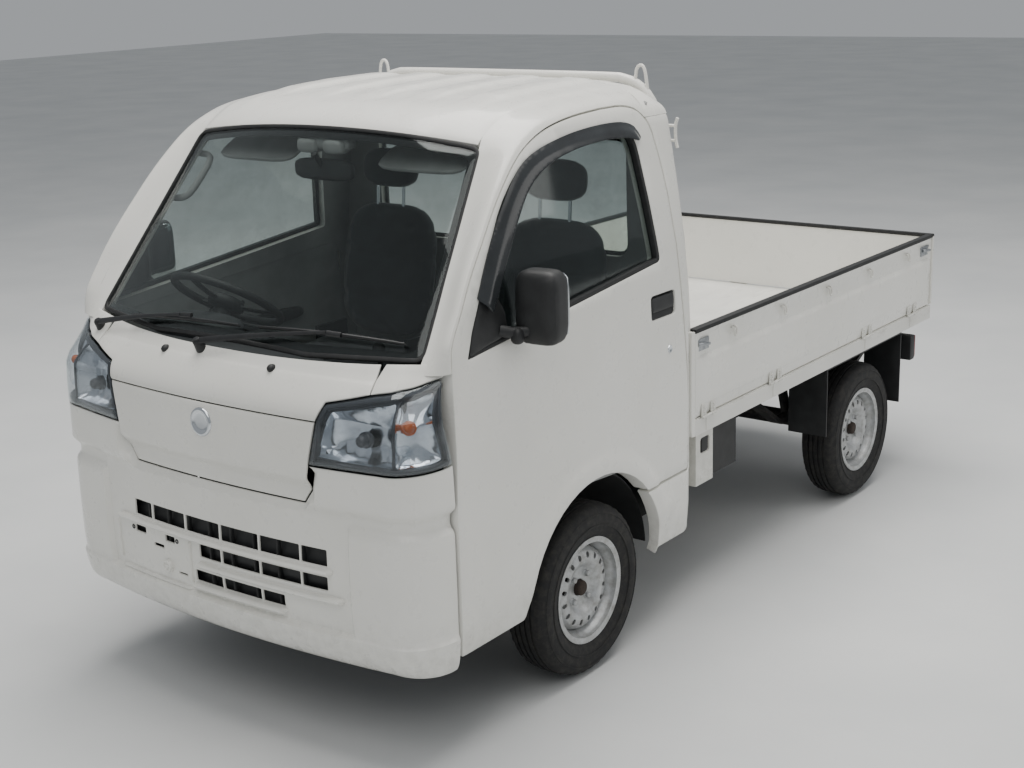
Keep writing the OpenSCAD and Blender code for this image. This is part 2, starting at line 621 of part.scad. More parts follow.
module front_suspension() color("darkslategray") both() {
  at_axle() {
    along_y(-18, 18) polygon([[rail_x + rail_w / 2 - 20, 300], [rail_x + rail_w / 2 + 10, 270],
      [ball_x - 14, ball_z - 22], [ball_x + 14, ball_z - 22], [ball_x + 14, ball_z - 6],
      [ball_x - 24, ball_z - 6], [rail_x + rail_w / 2 + 10, 295]]);
    box(rail_x + rail_w / 2 - 40, rail_x + rail_w / 2 + 12, -130, 130, 262, 300);
    box(rail_x - 25, rail_x + 25, -95, 130, 300, 400);
  }
  // ball joint under the knuckle, on the kingpin's own line
  kingpin() translate([0, 0, -10]) cylinder(h = 9.95, r = 12);
}
module knuckle() color("darkslategray") {
  kingpin() {
    cylinder(h = 90, r = 20);
    translate([-6, 0, 60]) cylinder(h = 330, r = 24);
    translate([-6, 0, 380]) cylinder(h = 130, r = 12);
    translate([-6, 0, 250]) cylinder(h = 12, r = 40);
  }
  at_axle() {
    box(ball_x - 20, ball_x + 6, -30, 30, 200, 340);
    rod_x(ball_x, track_f / 2 + 20, 0, tyre_r, stub_r);
    rod_x(ball_x, ball_x + 20, 0, tyre_r, 40);
    box(ball_x - 26, ball_x - 6, 0, 140, 232, 248);
  }
}
module left_knuckle() knuckle();
module right_knuckle() mirror([1, 0, 0]) knuckle();

module rear_axle() color("darkslategray") at_rear() translate([0, 0, tyre_r]) {
  e = track_r / 2 + 20;
  t = track_r / 2 - 62;
  rotate([0, 90, 0]) rotate_extrude() polygon([[0, -e], [stub_r, -e], [stub_r, -t],
    [32, -t], [32, -170], [70, -110], [100, -50], [100, 50], [70, 110], [32, 170],
    [32, t], [stub_r, t], [stub_r, e], [0, e]]);
  rod_y(-126, -60, 0, 0, 45);
}
module leaf_springs() color("darkslategray") both() {
  h = rail_z - tyre_r;
  along_x(leaf_x - 25, leaf_x + 25) translate([y_ra, 0])
    polygon([[-520, tyre_r + h - 20], [-250, tyre_r + 52], [-60, tyre_r + 32],
      [60, tyre_r + 32], [250, tyre_r + 52], [520, tyre_r + h - 60],
      [520, tyre_r + h - 40], [250, tyre_r + 72], [60, tyre_r + 62],
      [-60, tyre_r + 62], [-250, tyre_r + 72], [-520, tyre_r + h]]);
  box(rail_x + rail_w / 2, leaf_x + 25, y_ra - 540, y_ra - 500, rail_z - 30, rail_z + 40);
  box(rail_x + rail_w / 2, leaf_x + 25, y_ra + 495, y_ra + 535, rail_z - 70, rail_z + 40);
  at_rear() bar([leaf_x - 50, -60, tyre_r + 22], [rail_x + rail_w / 2 + 20, -120, rail_z + 60], 20);
}
module spare_wheel() color("dimgray") translate([0, y_ra + 331, spare_z]) {
  rotate_extrude() tyre_section();
  rotate_extrude() rim_section();
  rotate_extrude() polygon([[0, 8], [138, 8], [138, 14], [0, 14]]);
  translate([0, 0, 8]) cylinder(h = rail_z + 10 - spare_z - 8, r = 12);
}

module rear_splash_guards() color("dimgray") {
  both() box(570, 728, y_ra - 340, y_ra - 334, 330, bed_z - 56);
  both() box(570, 728, y_ra + 330, y_ra + 336, 300, bed_z - 56);
  both() box(560, 728, y_ra - 334, y_ra + 330, bed_z - 62, bed_z - 56);
}
module tail_lamps() color("firebrick") both() {
  box(550, 712, y_tail - 140, y_tail - 80, 440, 545);
  box(570, 600, y_tail - 90, y_tail - 60, 500, rail_z + 40);
}
module rear_plate_bracket() color("darkslategray") difference() {
  union() {
    box(-180, 180, y_tail - 8, y_tail - 4, 385, 500);
    for (x = [-150, 150]) {
      box(x - 15, x + 15, y_tail - 12, y_tail - 8, 420, rail_z + 60);
      box(x - 15, x + 15, y_tail - 40, y_tail - 12, rail_z + 56, rail_z + 60);
    }
  }
  for (x = [-plate_pitch / 2, plate_pitch / 2])
    rod_y(y_tail - 60, y_tail, x, 470, plate_hole_r);
}

// ---------- wheels ----------
module tyre_section() {
  h = tyre_w / 2;
  r = tyre_r;
  polygon([[bead_r, -57], [bead_r + 14, -57.8], [bead_r + 45, -h], [r - 40, -h + 1],
    [r - 14, -h + 12], [r - 4, -h + 22], [r, -h + 36], [r, h - 36], [r - 4, h - 22],
    [r - 14, h - 12], [r - 40, h - 1], [bead_r + 45, h], [bead_r + 14, 57.8],
    [bead_r, 57], [bead_r, 46], [bead_r + 16, 50], [bead_r + 45, h - 9],
    [r - 36, h - 10], [r - 16, h - 26], [r - 11, 0], [r - 16, -h + 26],
    [r - 36, -h + 10], [bead_r + 45, -h + 9], [bead_r + 16, -50], [bead_r, -46]]);
}
module rim_section() polygon([[bead_r, -45.5], [bead_r, -57], [166, -58], [166, -61.5],
  [bead_r - 3, -60], [bead_r - 3, -42], [134, -24], [134, 20], [bead_r - 3, 38],
  [bead_r - 3, 60], [166, 61.5], [166, 58], [bead_r, 57], [bead_r, 35], [137, 18],
  [137, -22], [bead_r, -40]]);
module tyre_3d() rotate([0, 90, 0]) rotate_extrude() tyre_section();
module rim_3d() rotate([0, 90, 0]) {
  difference() {
    union() {
      rotate_extrude() rim_section();
      rotate_extrude() polygon([[hub_bore_r, 14], [70, 14], [80, 30], [108, 36], [128, 24],
        [135, 10], [135, 20], [130, 30], [110, 41], [78, 35], [66, 19], [hub_bore_r, 19]]);
      for (i = [0:nut_count - 1]) rotate([0, 0, 45 + 360 / nut_count * i])
        translate([nut_pcd / 2, 0, 18]) cylinder(h = 16, r = 9, $fn = 6);
    }
    for (i = [0:vents - 1]) rotate([0, 0, 360 / vents * i])
      translate([106, 0, 0]) cylinder(h = 60, r = 12.5);
  }
  // hub with its bearing bore and dust cap
  rotate_extrude() polygon([[stub_r + stub_fit, -30], [stub_r + 14, -30], [stub_r + 14, 6],
    [60, 6], [60, 13.9], [hub_bore_r - 0.3, 13.9], [hub_bore_r - 0.3, 34],
    [hub_bore_r - 5, 38], [0, 38], [0, 30], [stub_r + stub_fit, 30]]);
  for (i = [0:nut_count - 1]) rotate([0, 0, 45 + 360 / nut_count * i])
    translate([nut_pcd / 2, 0, 10]) cylinder(h = 5, r = 6);
}
module front_wheel_at() translate([track_f / 2, y_fa, tyre_r]) children();
module rear_wheel_at() translate([track_r / 2, y_ra, tyre_r]) children();
module front_left_tyre() color("black") front_wheel_at() tyre_3d();
module front_left_rim() color("silver") front_wheel_at() rim_3d();
module front_right_tyre() mirror([1, 0, 0]) front_left_tyre();
module front_right_rim() mirror([1, 0, 0]) front_left_rim();
module rear_left_tyre() color("black") rear_wheel_at() tyre_3d();
module rear_left_rim() color("silver") rear_wheel_at() rim_3d();
module rear_right_tyre() mirror([1, 0, 0]) rear_left_tyre();
module rear_right_rim() mirror([1, 0, 0]) rear_left_rim();

frame_rails();
frame_crossmembers();
cab_floor();
cab_front_panel();
cab_side_left();
cab_side_right();
cab_roof();
cab_back_panel();
windshield_glass();
rear_window_glass();
front_garnish();
front_bumper();
headlights();
wipers();
dashboard();
steering_column();
driver_seat();
passenger_seat();
engine();
gearbox_and_propshaft();
fuel_tank();
exhaust();
battery_box();
front_arch_liners();
front_suspension();
rear_axle();
leaf_springs();
spare_wheel();
bed_floor();
bed_headboard();
roof_guard();
rear_splash_guards();
side_brackets();
tail_lamps();
rear_plate_bracket();
left_door();
left_door_glass();
left_mirror();
left_visor();
right_door();
right_door_glass();
right_mirror();
right_visor();
left_gate();
right_gate();
tailgate();
left_knuckle();
right_knuckle();
steering_wheel();
front_left_tyre();
front_left_rim();
front_right_tyre();
front_right_rim();
rear_left_tyre();
rear_left_rim();
rear_right_tyre();
rear_right_rim();
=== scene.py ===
import math
import bmesh
import bpy
import numpy as np
from mathutils import Matrix, Vector, geometry, noise


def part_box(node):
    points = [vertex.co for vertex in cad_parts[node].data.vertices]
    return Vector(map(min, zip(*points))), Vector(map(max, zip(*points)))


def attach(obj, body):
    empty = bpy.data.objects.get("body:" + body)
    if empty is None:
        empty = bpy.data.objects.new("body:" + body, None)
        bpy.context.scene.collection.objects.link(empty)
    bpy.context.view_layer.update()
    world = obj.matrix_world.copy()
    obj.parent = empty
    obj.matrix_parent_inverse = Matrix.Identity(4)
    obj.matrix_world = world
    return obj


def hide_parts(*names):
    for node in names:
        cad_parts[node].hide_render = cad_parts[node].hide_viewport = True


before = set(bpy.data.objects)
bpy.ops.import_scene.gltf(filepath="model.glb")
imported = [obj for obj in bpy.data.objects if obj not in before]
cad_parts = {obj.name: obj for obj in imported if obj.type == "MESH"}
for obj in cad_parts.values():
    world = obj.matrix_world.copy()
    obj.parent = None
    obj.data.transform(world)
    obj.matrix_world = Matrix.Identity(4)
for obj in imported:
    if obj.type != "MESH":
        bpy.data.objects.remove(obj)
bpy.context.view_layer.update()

# Camera: a studio shot from ahead of the left front corner, at head height.
# It stands where the whole truck fits with a little floor round it.
AZIMUTH, ELEVATION, ROLL = 37.585, 15.655, -1.84
CAMERA_AT = (3.161, -4.3775, 2.126)
LENS = 53.93

az, el = math.radians(AZIMUTH), math.radians(ELEVATION)
gaze = Vector((-math.sin(az) * math.cos(el), math.cos(az) * math.cos(el), -math.sin(el)))
camera = bpy.data.objects.new("camera", bpy.data.cameras.new("camera"))
camera.data.sensor_width = 36
camera.data.lens = LENS
camera.location = CAMERA_AT
camera.rotation_mode = "QUATERNION"
camera.rotation_quaternion = (gaze.to_track_quat("-Z", "Y").to_matrix() @
    Matrix.Rotation(math.radians(ROLL), 3, "Z")).to_quaternion()
bpy.context.scene.collection.objects.link(camera)
bpy.context.scene.camera = camera

# Hall floor: poured concrete with a pale sealed coat, ground flat.
# It only carries the truck's shadow, with faint cloudy wear in the coat.


def linear(hexed):
    """sRGB hex string to a linear RGBA tuple."""
    parts = [int(hexed[i : i + 2], 16) / 255 for i in (0, 2, 4)]
    return tuple(c / 12.92 if c <= 0.04045 else ((c + 0.055) / 1.055) ** 2.4
        for c in parts) + (1.0,)


def put(tree, kind, links=None, **settings):
    """Adds a node. A setting is a property of the node or, in lower case with _, an input."""
    node = tree.nodes.new("ShaderNode" + kind)
    names = {s.name.lower().replace(" ", "_"): s for s in reversed(node.inputs)}
    for key, value in settings.items():
        if key in names:
            names[key].default_value = value
        else:
            setattr(node, key, value)
    for key, source in (links or {}).items():
        socket = node.inputs[key] if isinstance(key, int) else names[key]
        if hasattr(source, "outputs"):
            source = source.outputs[0]
        tree.links.new(source, socket)
    return node


def material(name, **shader):
    """A material with one Principled shader, and its tree for the nodes that feed it."""
    made = bpy.data.materials.new(name)
    made.use_nodes = True
    tree = made.node_tree
    tree.nodes.clear()
    skin = put(tree, "BsdfPrincipled", **shader)
    put(tree, "OutputMaterial", {"surface": skin})
    return made, tree, skin


def feed(tree, node, **sources):
    """Links each source to the input of its name, in lower case with _."""
    names = {s.name.lower().replace(" ", "_"): s for s in reversed(node.inputs)}
    for key, source in sources.items():
        if hasattr(source, "outputs"):
            source = source.outputs[0]
        tree.links.new(source, names[key])


def grain(tree, size_mm, detail=4.0, roughness=0.55, stretch=(1, 1, 1)):
    """Noise whose features are size_mm across on the object."""
    place = put(tree, "Mapping", {"vector": put(tree, "TexCoord").outputs["Object"]})
    place.inputs["Scale"].default_value = stretch
    return put(tree, "TexNoise", {"vector": place}, scale=1000.0 / size_mm, detail=detail,
        roughness=roughness)


def shades(tree, factor, *stops):
    """Colour ramp with (position, hex) stops over a factor."""
    ramp = put(tree, "ValToRGB", {"fac": factor})
    band = ramp.color_ramp.elements
    while len(band) < len(stops):
        band.new(0.5)
    for element, (position, hexed) in zip(band, stops):
        element.position = position
        element.color = linear(hexed)
    return ramp


def levels(tree, factor, low, high, start=0.0, end=1.0):
    """Stretches a factor from start..end to low..high."""
    return put(tree, "MapRange", {"value": factor}, from_min=start, from_max=end, to_min=low,
        to_max=high)


def bump(tree, height, millimetres, strength=1.0):
    return put(tree, "Bump", {"height": height}, strength=strength, distance=millimetres / 1000.0)


def finish(name, cloud, tones, grit=None, **shader):
    """Clouds of some tones (mm, detail), and a fine grit (mm, detail, depth in mm, strength)."""
    made, tree, skin = material(name, **shader)
    feed(tree, skin, base_color=shades(tree, grain(tree, *cloud), *tones))
    if grit:
        feed(tree, skin, normal=bump(tree, grain(tree, *grit[:2]), *grit[2:]))
    return made


# Sealed concrete: matt with a weak sheen, clouds a metre across and fine grit.
concrete, tree, skin = material("sealed_concrete", roughness=0.62)
clouds = grain(tree, 900, 5)
feed(tree, skin, base_color=shades(tree, clouds, (0.3, "C9CBCB"), (0.7, "D6D7D6")),
    normal=bump(tree, grain(tree, 4, 2), 0.3, 0.3))

FLOOR_HALF = 30.0
floor_mesh = bpy.data.meshes.new("floor")
floor_mesh.from_pydata([(x * FLOOR_HALF, y * FLOOR_HALF, 0)
    for x, y in ((-1, -1), (1, -1), (1, 1), (-1, 1))], [], [(0, 1, 2, 3)])
floor_mesh.materials.append(concrete)
floor = bpy.data.objects.new("floor", floor_mesh)
bpy.context.scene.collection.objects.link(floor)

# Studio light: an overcast white dome, one broad key from the front left
# and a weaker fill, so that the white body keeps soft gradients.
world = bpy.data.worlds.new("dome")
world.use_nodes = True
sky = world.node_tree.nodes["Background"]
sky.inputs["Color"].default_value = linear("E4E8EC")
sky.inputs["Strength"].default_value = 0.47
bpy.context.scene.world = world
for name, at, size, watts in (("key", (2.5, -5.0, 6.5), 5.0, 150),
        ("overhead", (-0.2, 0.6, 7.0), 6.0, 640), ("fill", (6.0, 3.5, 3.5), 4.0, 70)):
    lamp = bpy.data.lights.new(name, "AREA")
    lamp.energy, lamp.size, lamp.color = watts, size, (1.0, 0.98, 0.95)
    holder = bpy.data.objects.new(name, lamp)
    holder.location = at
    holder.rotation_mode = "QUATERNION"
    holder.rotation_quaternion = (Vector((0, -0.3, 0.6)) - Vector(at)).to_track_quat("-Z", "Y")
    bpy.context.scene.collection.objects.link(holder)

# Axle lines and main heights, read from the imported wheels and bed. Below,
# lengths are millimetres, y runs backwards from the front axle.


def middle(node):
    lo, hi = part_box(node)
    return [(a + b) * 500 for a, b in zip(lo, hi)]


FRONT_AXLE = middle("front_left_tyre")[1]
HALF_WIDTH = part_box("front_bumper")[1][0] * 1000
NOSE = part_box("front_bumper")[0][1] * 1000 - FRONT_AXLE
CAB_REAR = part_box("cab_back_panel")[1][1] * 1000 - FRONT_AXLE


def piece(name, points, faces, skins, body="chassis", slot="body_paint", smooth=35.0,
        mirror=False):
    """Mesh from millimetre points. faces is a list, or a list of (faces, skin number)."""
    if mirror:
        points, faces = mirrored(points), flipped(faces)
    mesh = bpy.data.meshes.new(name)
    points = np.asarray(points, float).reshape(-1, 3) + (0, FRONT_AXLE, 0)
    groups = faces if faces and isinstance(faces[0], tuple) and isinstance(faces[0][0],
        (list, np.ndarray)) else [(faces, 0)]
    every = [list(map(int, f)) for group, _ in groups for f in group]
    mesh.from_pydata([tuple(p * 0.001) for p in points], [], every)
    numbers = [number for group, number in groups for _ in group]
    for skin_material in skins if isinstance(skins, (list, tuple)) else [skins]:
        mesh.materials.append(skin_material)
    if len(numbers) == len(mesh.polygons):
        mesh.polygons.foreach_set("material_index", numbers)
    mesh.validate()
    made = bpy.data.objects.new(name, mesh)
    bpy.context.scene.collection.objects.link(made)
    mesh.shade_smooth()
    mesh.set_sharp_from_angle(angle=math.radians(smooth))
    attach(made, body)
    return made


def mirrored(points):
    """Left-hand points on the right-hand side."""
    return np.asarray(points, float) * (-1, 1, 1)


def flipped(faces):
    return [list(f)[::-1] for f in faces]


HANDS = (("left", False), ("right", True))  # name of a side, and whether it is mirrored

# Cab skin, shared by every pressed panel: the nose is a curve in plan, the
# sides lean in towards the roof. A panel is cut from it as sheet steel with
# rolled edges, so panels meet at even shut gaps.


def soft(points, blur=30.0):
    """Smooth curve through (a, b) points, as a function of a."""
    points = sorted(points)
    a = np.array([p[0] for p in points], float)
    b = np.array([p[1] for p in points], float)
    step = 2.0
    wide = np.arange(a[0] - 3 * blur, a[-1] + 3 * blur, step)
    line = np.interp(wide, a, b)
    lo, hi = wide < a[0], wide > a[-1]
    line[lo] = b[0] + (wide[lo] - a[0]) * (b[1] - b[0]) / (a[1] - a[0])
    line[hi] = b[-1] + (wide[hi] - a[-1]) * (b[-1] - b[-2]) / (a[-1] - a[-2])
    kernel = np.hanning(int(blur / step) * 2 + 1)
    smooth_line = np.convolve(line, kernel / kernel.sum(), "same")
    return lambda at: np.interp(at, wide, smooth_line)


# how far the side leans in at each height, and the nose leans back
side_inset = soft([(255, 22), (300, 8), (380, 1), (500, 0), (900, 0), (1050, 2), (1140, 6),
    (1250, 15), (1400, 36), (1530, 58), (1620, 74), (1670, 89), (1700, 108), (1725, 145)], 24)
nose_inset = soft([(255, 62), (290, 22), (350, 7), (430, 0), (560, 0), (700, 4), (850, 8),
    (930, 12), (966, 15)], 24)
roof_line = soft([(-330, 1630), (-290, 1677), (-245, 1702), (-160, 1721), (0, 1737), (200, 1746),
    (400, 1748), (500, 1744)], 30)
roof_drop = soft([(0, 0), (300, 1), (438, 5), (532, 17), (585, 32), (623, 58), (648, 80)], 30)

# plan curve of the nose by arc length: flat bow, then a quarter ellipse
CORNER_X, CORNER_BACK, CORNER_LONG = 608.0, 46.0, 150.0
_t = np.linspace(0, 1, 160)
_bow = np.stack([_t * CORNER_X, NOSE + CORNER_BACK * _t**2], 1)
_a = np.linspace(0, math.pi / 2, 80)[1:]
_turn = np.stack([CORNER_X + (HALF_WIDTH - CORNER_X) * np.sin(_a),
    NOSE + CORNER_BACK + CORNER_LONG * (1 - np.cos(_a))], 1)
_side = np.stack([np.full(20, HALF_WIDTH), _turn[-1, 1] + np.arange(1, 21) * 5], 1)
_plan = np.concatenate([_bow, _turn, _side])
_arc = np.concatenate([[0], np.cumsum(np.linalg.norm(np.diff(_plan, axis=0), axis=1))])
_slope = np.gradient(_plan, axis=0)
_normal = np.stack([-_slope[:, 1] * -1, _slope[:, 0] * -1], 1)
_normal /= np.linalg.norm(_normal, axis=1)[:, None]
_normal = np.stack([np.convolve(np.pad(c, 8, "edge"), np.ones(17) / 17, "valid")
    for c in _normal.T], 1)
SEAM = 966.0  # height of the joint over the front garnish
ARC_CORNER = float(np.interp(CORNER_X, _plan[:, 0], _arc))
ARC_DOOR = float(_arc[-20] + 15)


def floats(*values):
    return [np.asarray(v, float) for v in values]


def windscreen(x, s, deep=0.0):
    """Point on the windscreen's cylinder, s up the slope."""
    x, s = floats(x, s)
    back = x**2 / 5400 + deep
    return np.stack([x, -748 + 0.629 * s + 0.777 * back, 1108 + 0.777 * s - 0.629 * back], -1)


def glass_low(x):
    """Lower edge of the windscreen opening, up the slope."""
    return 2 + 68 * (np.abs(x) / 600.0) ** 2.2


def nose_skin(u, w):
    """Front skin. u is arc length from the middle; w is height up to the seam, and beyond
    it the way up to the windscreen, 150 long."""
    u, w = floats(u, w)
    side, arc = np.sign(u), np.abs(u)
    px, py = np.interp(arc, _arc, _plan[:, 0]), np.interp(arc, _arc, _plan[:, 1])
    nx, ny = np.interp(arc, _arc, _normal[:, 0]), np.interp(arc, _arc, _normal[:, 1])
    low = np.minimum(w, SEAM)
    foot = np.stack([px - side_inset(low) * nx, py - nose_inset(low) * ny, low], -1)
    # where the section ends: the windscreen's edge, then the pillar foot
    t = np.clip((w - SEAM) / 150.0, 0, 1.2)[..., None]
    gx = np.minimum(arc, ARC_CORNER) * 0.985
    top = windscreen(gx, glass_low(gx) - 6)
    k = np.clip((arc - ARC_CORNER) / (ARC_DOOR - ARC_CORNER), 0, 1)[..., None]
    ease = k * k * (3 - 2 * k)
    pillar = np.array([HALF_WIDTH - 7, -624.0, 1128.0])
    top = top * (1 - ease) + pillar * ease
    top[..., 0] = np.where(arc > ARC_CORNER, np.maximum(top[..., 0], px - 42), top[..., 0])
    rise = np.array([0, 0, 150.0]) * np.ones_like(top)
    lean = np.array([0.0, 0.629, 0.777]) * (1 - k) + np.array([-0.05, 0.05, 1.0]) * k
    run = np.linalg.norm(top - foot, axis=-1)[..., None]
    h00, h10 = 2 * t**3 - 3 * t**2 + 1, t**3 - 2 * t**2 + t
    h01, h11 = -2 * t**3 + 3 * t**2, t**3 - t**2
    upper = h00 * foot + h10 * rise * 0.9 + h01 * top + h11 * lean * run * 0.9
    point = np.where(w[..., None] > SEAM, upper, foot)
    point[..., 0] *= np.where(side == 0, 1, side)
    return point


def side_skin(y, z):
    """Left side of the cab over (y, z), rounded into the back."""
    y, z = floats(y, z)
    late = np.clip((y - (CAB_REAR - 30)) / 30.0, 0, 1)
    return np.stack([HALF_WIDTH - side_inset(z) - 26 * (1 - np.sqrt(1 - late**2 * 0.96)), y, z],
        -1)


SCREEN_TOP, BROW = 716.0, 190.0


def roof_skin(x, y):
    """Roof over (x, y); its front brow rolls down to the windscreen's upper edge."""
    x, y = floats(x, y)
    late = np.clip((y - (CAB_REAR - 62)) / 44.0, 0, 1)
    z = roof_line(np.minimum(y, CAB_REAR - 62)) - 30 * (1 - np.sqrt(1 - late**2 * 0.95))
    z = z - roof_drop(np.abs(x))
    screen_top = windscreen(x, SCREEN_TOP + 0 * x)
    above = roof_line(screen_top[..., 1]) - roof_drop(np.abs(x)) - screen_top[..., 2]
    t = np.clip((y - screen_top[..., 1]) / BROW, 0, 1)
    return np.stack([x, y, z - above * (1 - t) ** 2], -1)


def back_skin(x, z):
    x, z = floats(x, z)
    lean = np.interp(z, [0, 950, 1300, 1712], [0, 0, 15, 17])
    return np.stack([x, CAB_REAR - lean, z], -1)


def resample(loop, step):
    """Points at about every step along a closed outline, with its corners kept."""
    loop = np.asarray(loop, float)
    out = []
    for p, q in zip(loop, np.roll(loop, -1, 0)):
        n = max(1, int(round(np.linalg.norm(q - p) / step)))
        out += [p + (q - p) * i / n for i in range(n)]
    return np.array(out)


def rounded(corners, radius=10.0, parts=4):
    """Closed outline with each corner cut to an arc. A corner may carry its own radius."""
    out = []
    pts = [np.array(c[:2], float) for c in corners]
    for i, p in enumerate(pts):
        r = corners[i][2] if len(corners[i]) > 2 else radius
        a, b = pts[i - 1] - p, pts[(i + 1) % len(pts)] - p
        la, lb = np.linalg.norm(a), np.linalg.norm(b)
        cut = min(r, la * 0.48, lb * 0.48)
        if cut < 0.5:
            out.append(p)
            continue
        a, b = p + a / la * cut, p + b / lb * cut
        for k in range(parts + 1):
            t = k / parts
            out.append((1 - t) ** 2 * a + 2 * t * (1 - t) * p + t * t * b)
    return np.array(out)


def inside(points, loop):
    x, y = points[:, 0][:, None], points[:, 1][:, None]
    ax, ay = loop[:, 0][None], loop[:, 1][None]
    bx, by = np.roll(ax, -1, 1), np.roll(ay, -1, 1)
    crosses = (ay > y) != (by > y)
    with np.errstate(divide="ignore", invalid="ignore"):
        where = (bx - ax) * (y - ay) / (by - ay) + ax
    return (crosses & (x < where)).sum(1) % 2 == 1


def gap_to(points, loops):
    """Distance of each point to the nearest outline."""
    best = np.full(len(points), 1e9)
    for loop in loops:
        a = loop[None]
        d = np.roll(loop, -1, 0)[None] - a
        for start in range(0, len(points), 4000):
            p = points[start : start + 4000, None]
            t = np.clip(((p - a) * d).sum(-1) / np.maximum((d * d).sum(-1), 1e-9), 0, 1)
            gap = np.linalg.norm(p - (a + t[..., None] * d), axis=-1).min(1)
            best[start : start + 4000] = np.minimum(best[start : start + 4000], gap)
    return best


def pressed(name, skin, outline, skins, holes=(), thick=1.5, roll=3.0, grid=26.0, step=10.0,
        relief=None, extra=(), mirror=False, inner=None, turn=False, **rides):
    """Sheet panel cut from a skin: outline and holes in the skin's own two coordinates.
    Its edges roll in by roll, relief(a, b) lifts it, and the back skin is thick behind."""
    loops = [resample(outline, step)] + [resample(h, step) for h in holes]
    cloud = list(loops)
    rows = (roll * 0.3, roll) if roll else ()
    for row in rows:
        for loop in loops:
            run = np.roll(loop, -1, 0) - np.roll(loop, 1, 0)
            across = np.stack([-run[:, 1], run[:, 0]], 1)
            across /= np.linalg.norm(across, axis=1)[:, None] + 1e-9
            for s in (-1, 1):
                moved = loop + across * row * s
                cloud.append(moved[gap_to(moved, loops) > row * 0.93])
    lo, hi = loops[0].min(0), loops[0].max(0)
    nx, ny = (np.ceil((hi - lo) / grid)).astype(int) + 1
    gx, gy = np.meshgrid(np.linspace(lo[0], hi[0], nx), np.linspace(lo[1], hi[1], ny))
    field = np.stack([gx.ravel(), gy.ravel()], 1)
    field = np.concatenate([field] + [np.asarray(e, float).reshape(-1, 2) for e in extra])
    field = field[gap_to(field, loops) > max(roll * 1.7, grid * 0.3)]
    cloud.append(field)
    flat = np.concatenate(cloud)
    within = inside(flat, loops[0])
    for hole in loops[1:]:
        within &= ~inside(flat, hole)
    edge_count = sum(len(l) for l in loops)
    within[:edge_count] = True
    flat = flat[within]
    edges, first = [], 0
    for loop in loops:
        edges += [(first + i, first + (i + 1) % len(loop)) for i in range(len(loop))]
        first += len(loop)
    flat, _, tris, _, _, _ = geometry.delaunay_2d_cdt([Vector(p) for p in flat], edges, [], 0,
        1e-4)
    flat = np.array([tuple(p) for p in flat])
    tris = np.array(tris)
    mid = flat[tris].mean(1)
    keep = inside(mid, loops[0])
    for hole in loops[1:]:
        keep &= ~inside(mid, hole)
    tris = tris[keep]
    a, b = flat[:, 0], flat[:, 1]
    at = skin(a, b)
    du = skin(a + 0.5, b) - skin(a - 0.5, b)
    dv = skin(a, b + 0.5) - skin(a, b - 0.5)
    out = np.cross(du, dv)
    out /= np.linalg.norm(out, axis=1)[:, None] + 1e-12
    if turn:
        out = -out
    d = np.clip(gap_to(flat, loops) / roll, 0, 1) if roll else np.ones(len(flat))
    sink = roll * (1 - np.sqrt(np.clip(1 - (1 - d) ** 2, 0, 1)))
    lift = relief(a, b) if relief is not None else 0.0
    outer = at + out * (lift - sink)[:, None] if roll else at + out * np.reshape(lift, (-1, 1))
    back = at - out * (thick + (0 if thick > 12 else 1) * (sink - lift))[:,
        None] if roll else (at - out * (thick - np.reshape(lift,
        (-1, 1)) if thick <= 12 else thick))
    n = len(flat)
    seen = {}
    for tri in tris:
        for i in range(3):
            seen.setdefault(frozenset((int(tri[i]), int(tri[(i + 1) % 3]))),
                []).append((int(tri[i]), int(tri[(i + 1) % 3])))
    rim = [[b0, a0, a0 + n, b0 + n] for e in seen.values() if len(e) == 1 for a0, b0 in e]
    if turn:
        front, rear, rim = tris[:, ::-1], tris + n, [r[::-1] for r in rim]
    else:
        front, rear = tris, tris[:, ::-1] + n
    points = np.concatenate([outer, back])
    groups = [(front.tolist(), 0), (rear.tolist(), 1 if inner else 0), (rim, 0)]
    if mirror:
        points = mirrored(points)
        groups = [(flipped(g), k) for g, k in groups]
    return piece(name, points, groups, [skins] + ([inner] if inner else []), **rides)


def arc_at(x):
    """Arc length along the nose of a point x from the middle plane."""
    return np.sign(x) * np.interp(np.abs(x), _plan[: len(_bow) + 79, 0], _arc[: len(_bow) + 79])


def fade(value, start, end):
    """0 before start, 1 after end, smooth between."""
    t = np.clip((value - start) / (end - start), 0, 1)
    return t * t * (3 - 2 * t)


# Body paint: white solid enamel baked on sheet steel. Even and glossy, with
# a faint orange peel and a little road film low down.
def enamel(name, high, low, film="8D8A80", reach=0.45):
    made, tree, skin = material(name, roughness=0.3, ior=1.5, coat_weight=0.35,
        coat_roughness=0.08)
    tone = shades(tree, grain(tree, 420, 3), (0.35, low), (0.65, high))
    place = put(tree, "SeparateXYZ", {"vector": put(tree, "TexCoord").outputs["Object"]})
    near_road = levels(tree, place.outputs["Z"], 1.0, 0.0, 0.2, reach)
    specks = levels(tree, grain(tree, 34, 6, 0.7), 0.0, 0.55, 0.42, 0.75)
    dirty = put(tree, "Math", {0: near_road, 1: specks}, operation="MULTIPLY")
    mix = put(tree, "Mix", data_type="RGBA")
    tree.links.new(dirty.outputs[0], mix.inputs["Factor"])
    tree.links.new(tone.outputs[0], mix.inputs["A"])
    mix.inputs["B"].default_value = linear(film)
    feed(tree, skin, base_color=mix.outputs["Result"], roughness=levels(tree, grain(tree, 60, 5),
        0.24, 0.38, 0.3, 0.7), normal=bump(tree, grain(tree, 5, 2), 0.06, 0.25))
    return made


body_enamel = enamel("white_body_enamel", "E9E8E2", "E4E3DC")

# Cab lining: light grey moulded polypropylene, matt with a fine leather grain.
cab_lining = finish("light_grey_moulded_lining", (90, 4), ((0.3, "8E8F8E"), (0.7, "989998")),
    (3, 3, 0.25, 0.5), roughness=0.75)

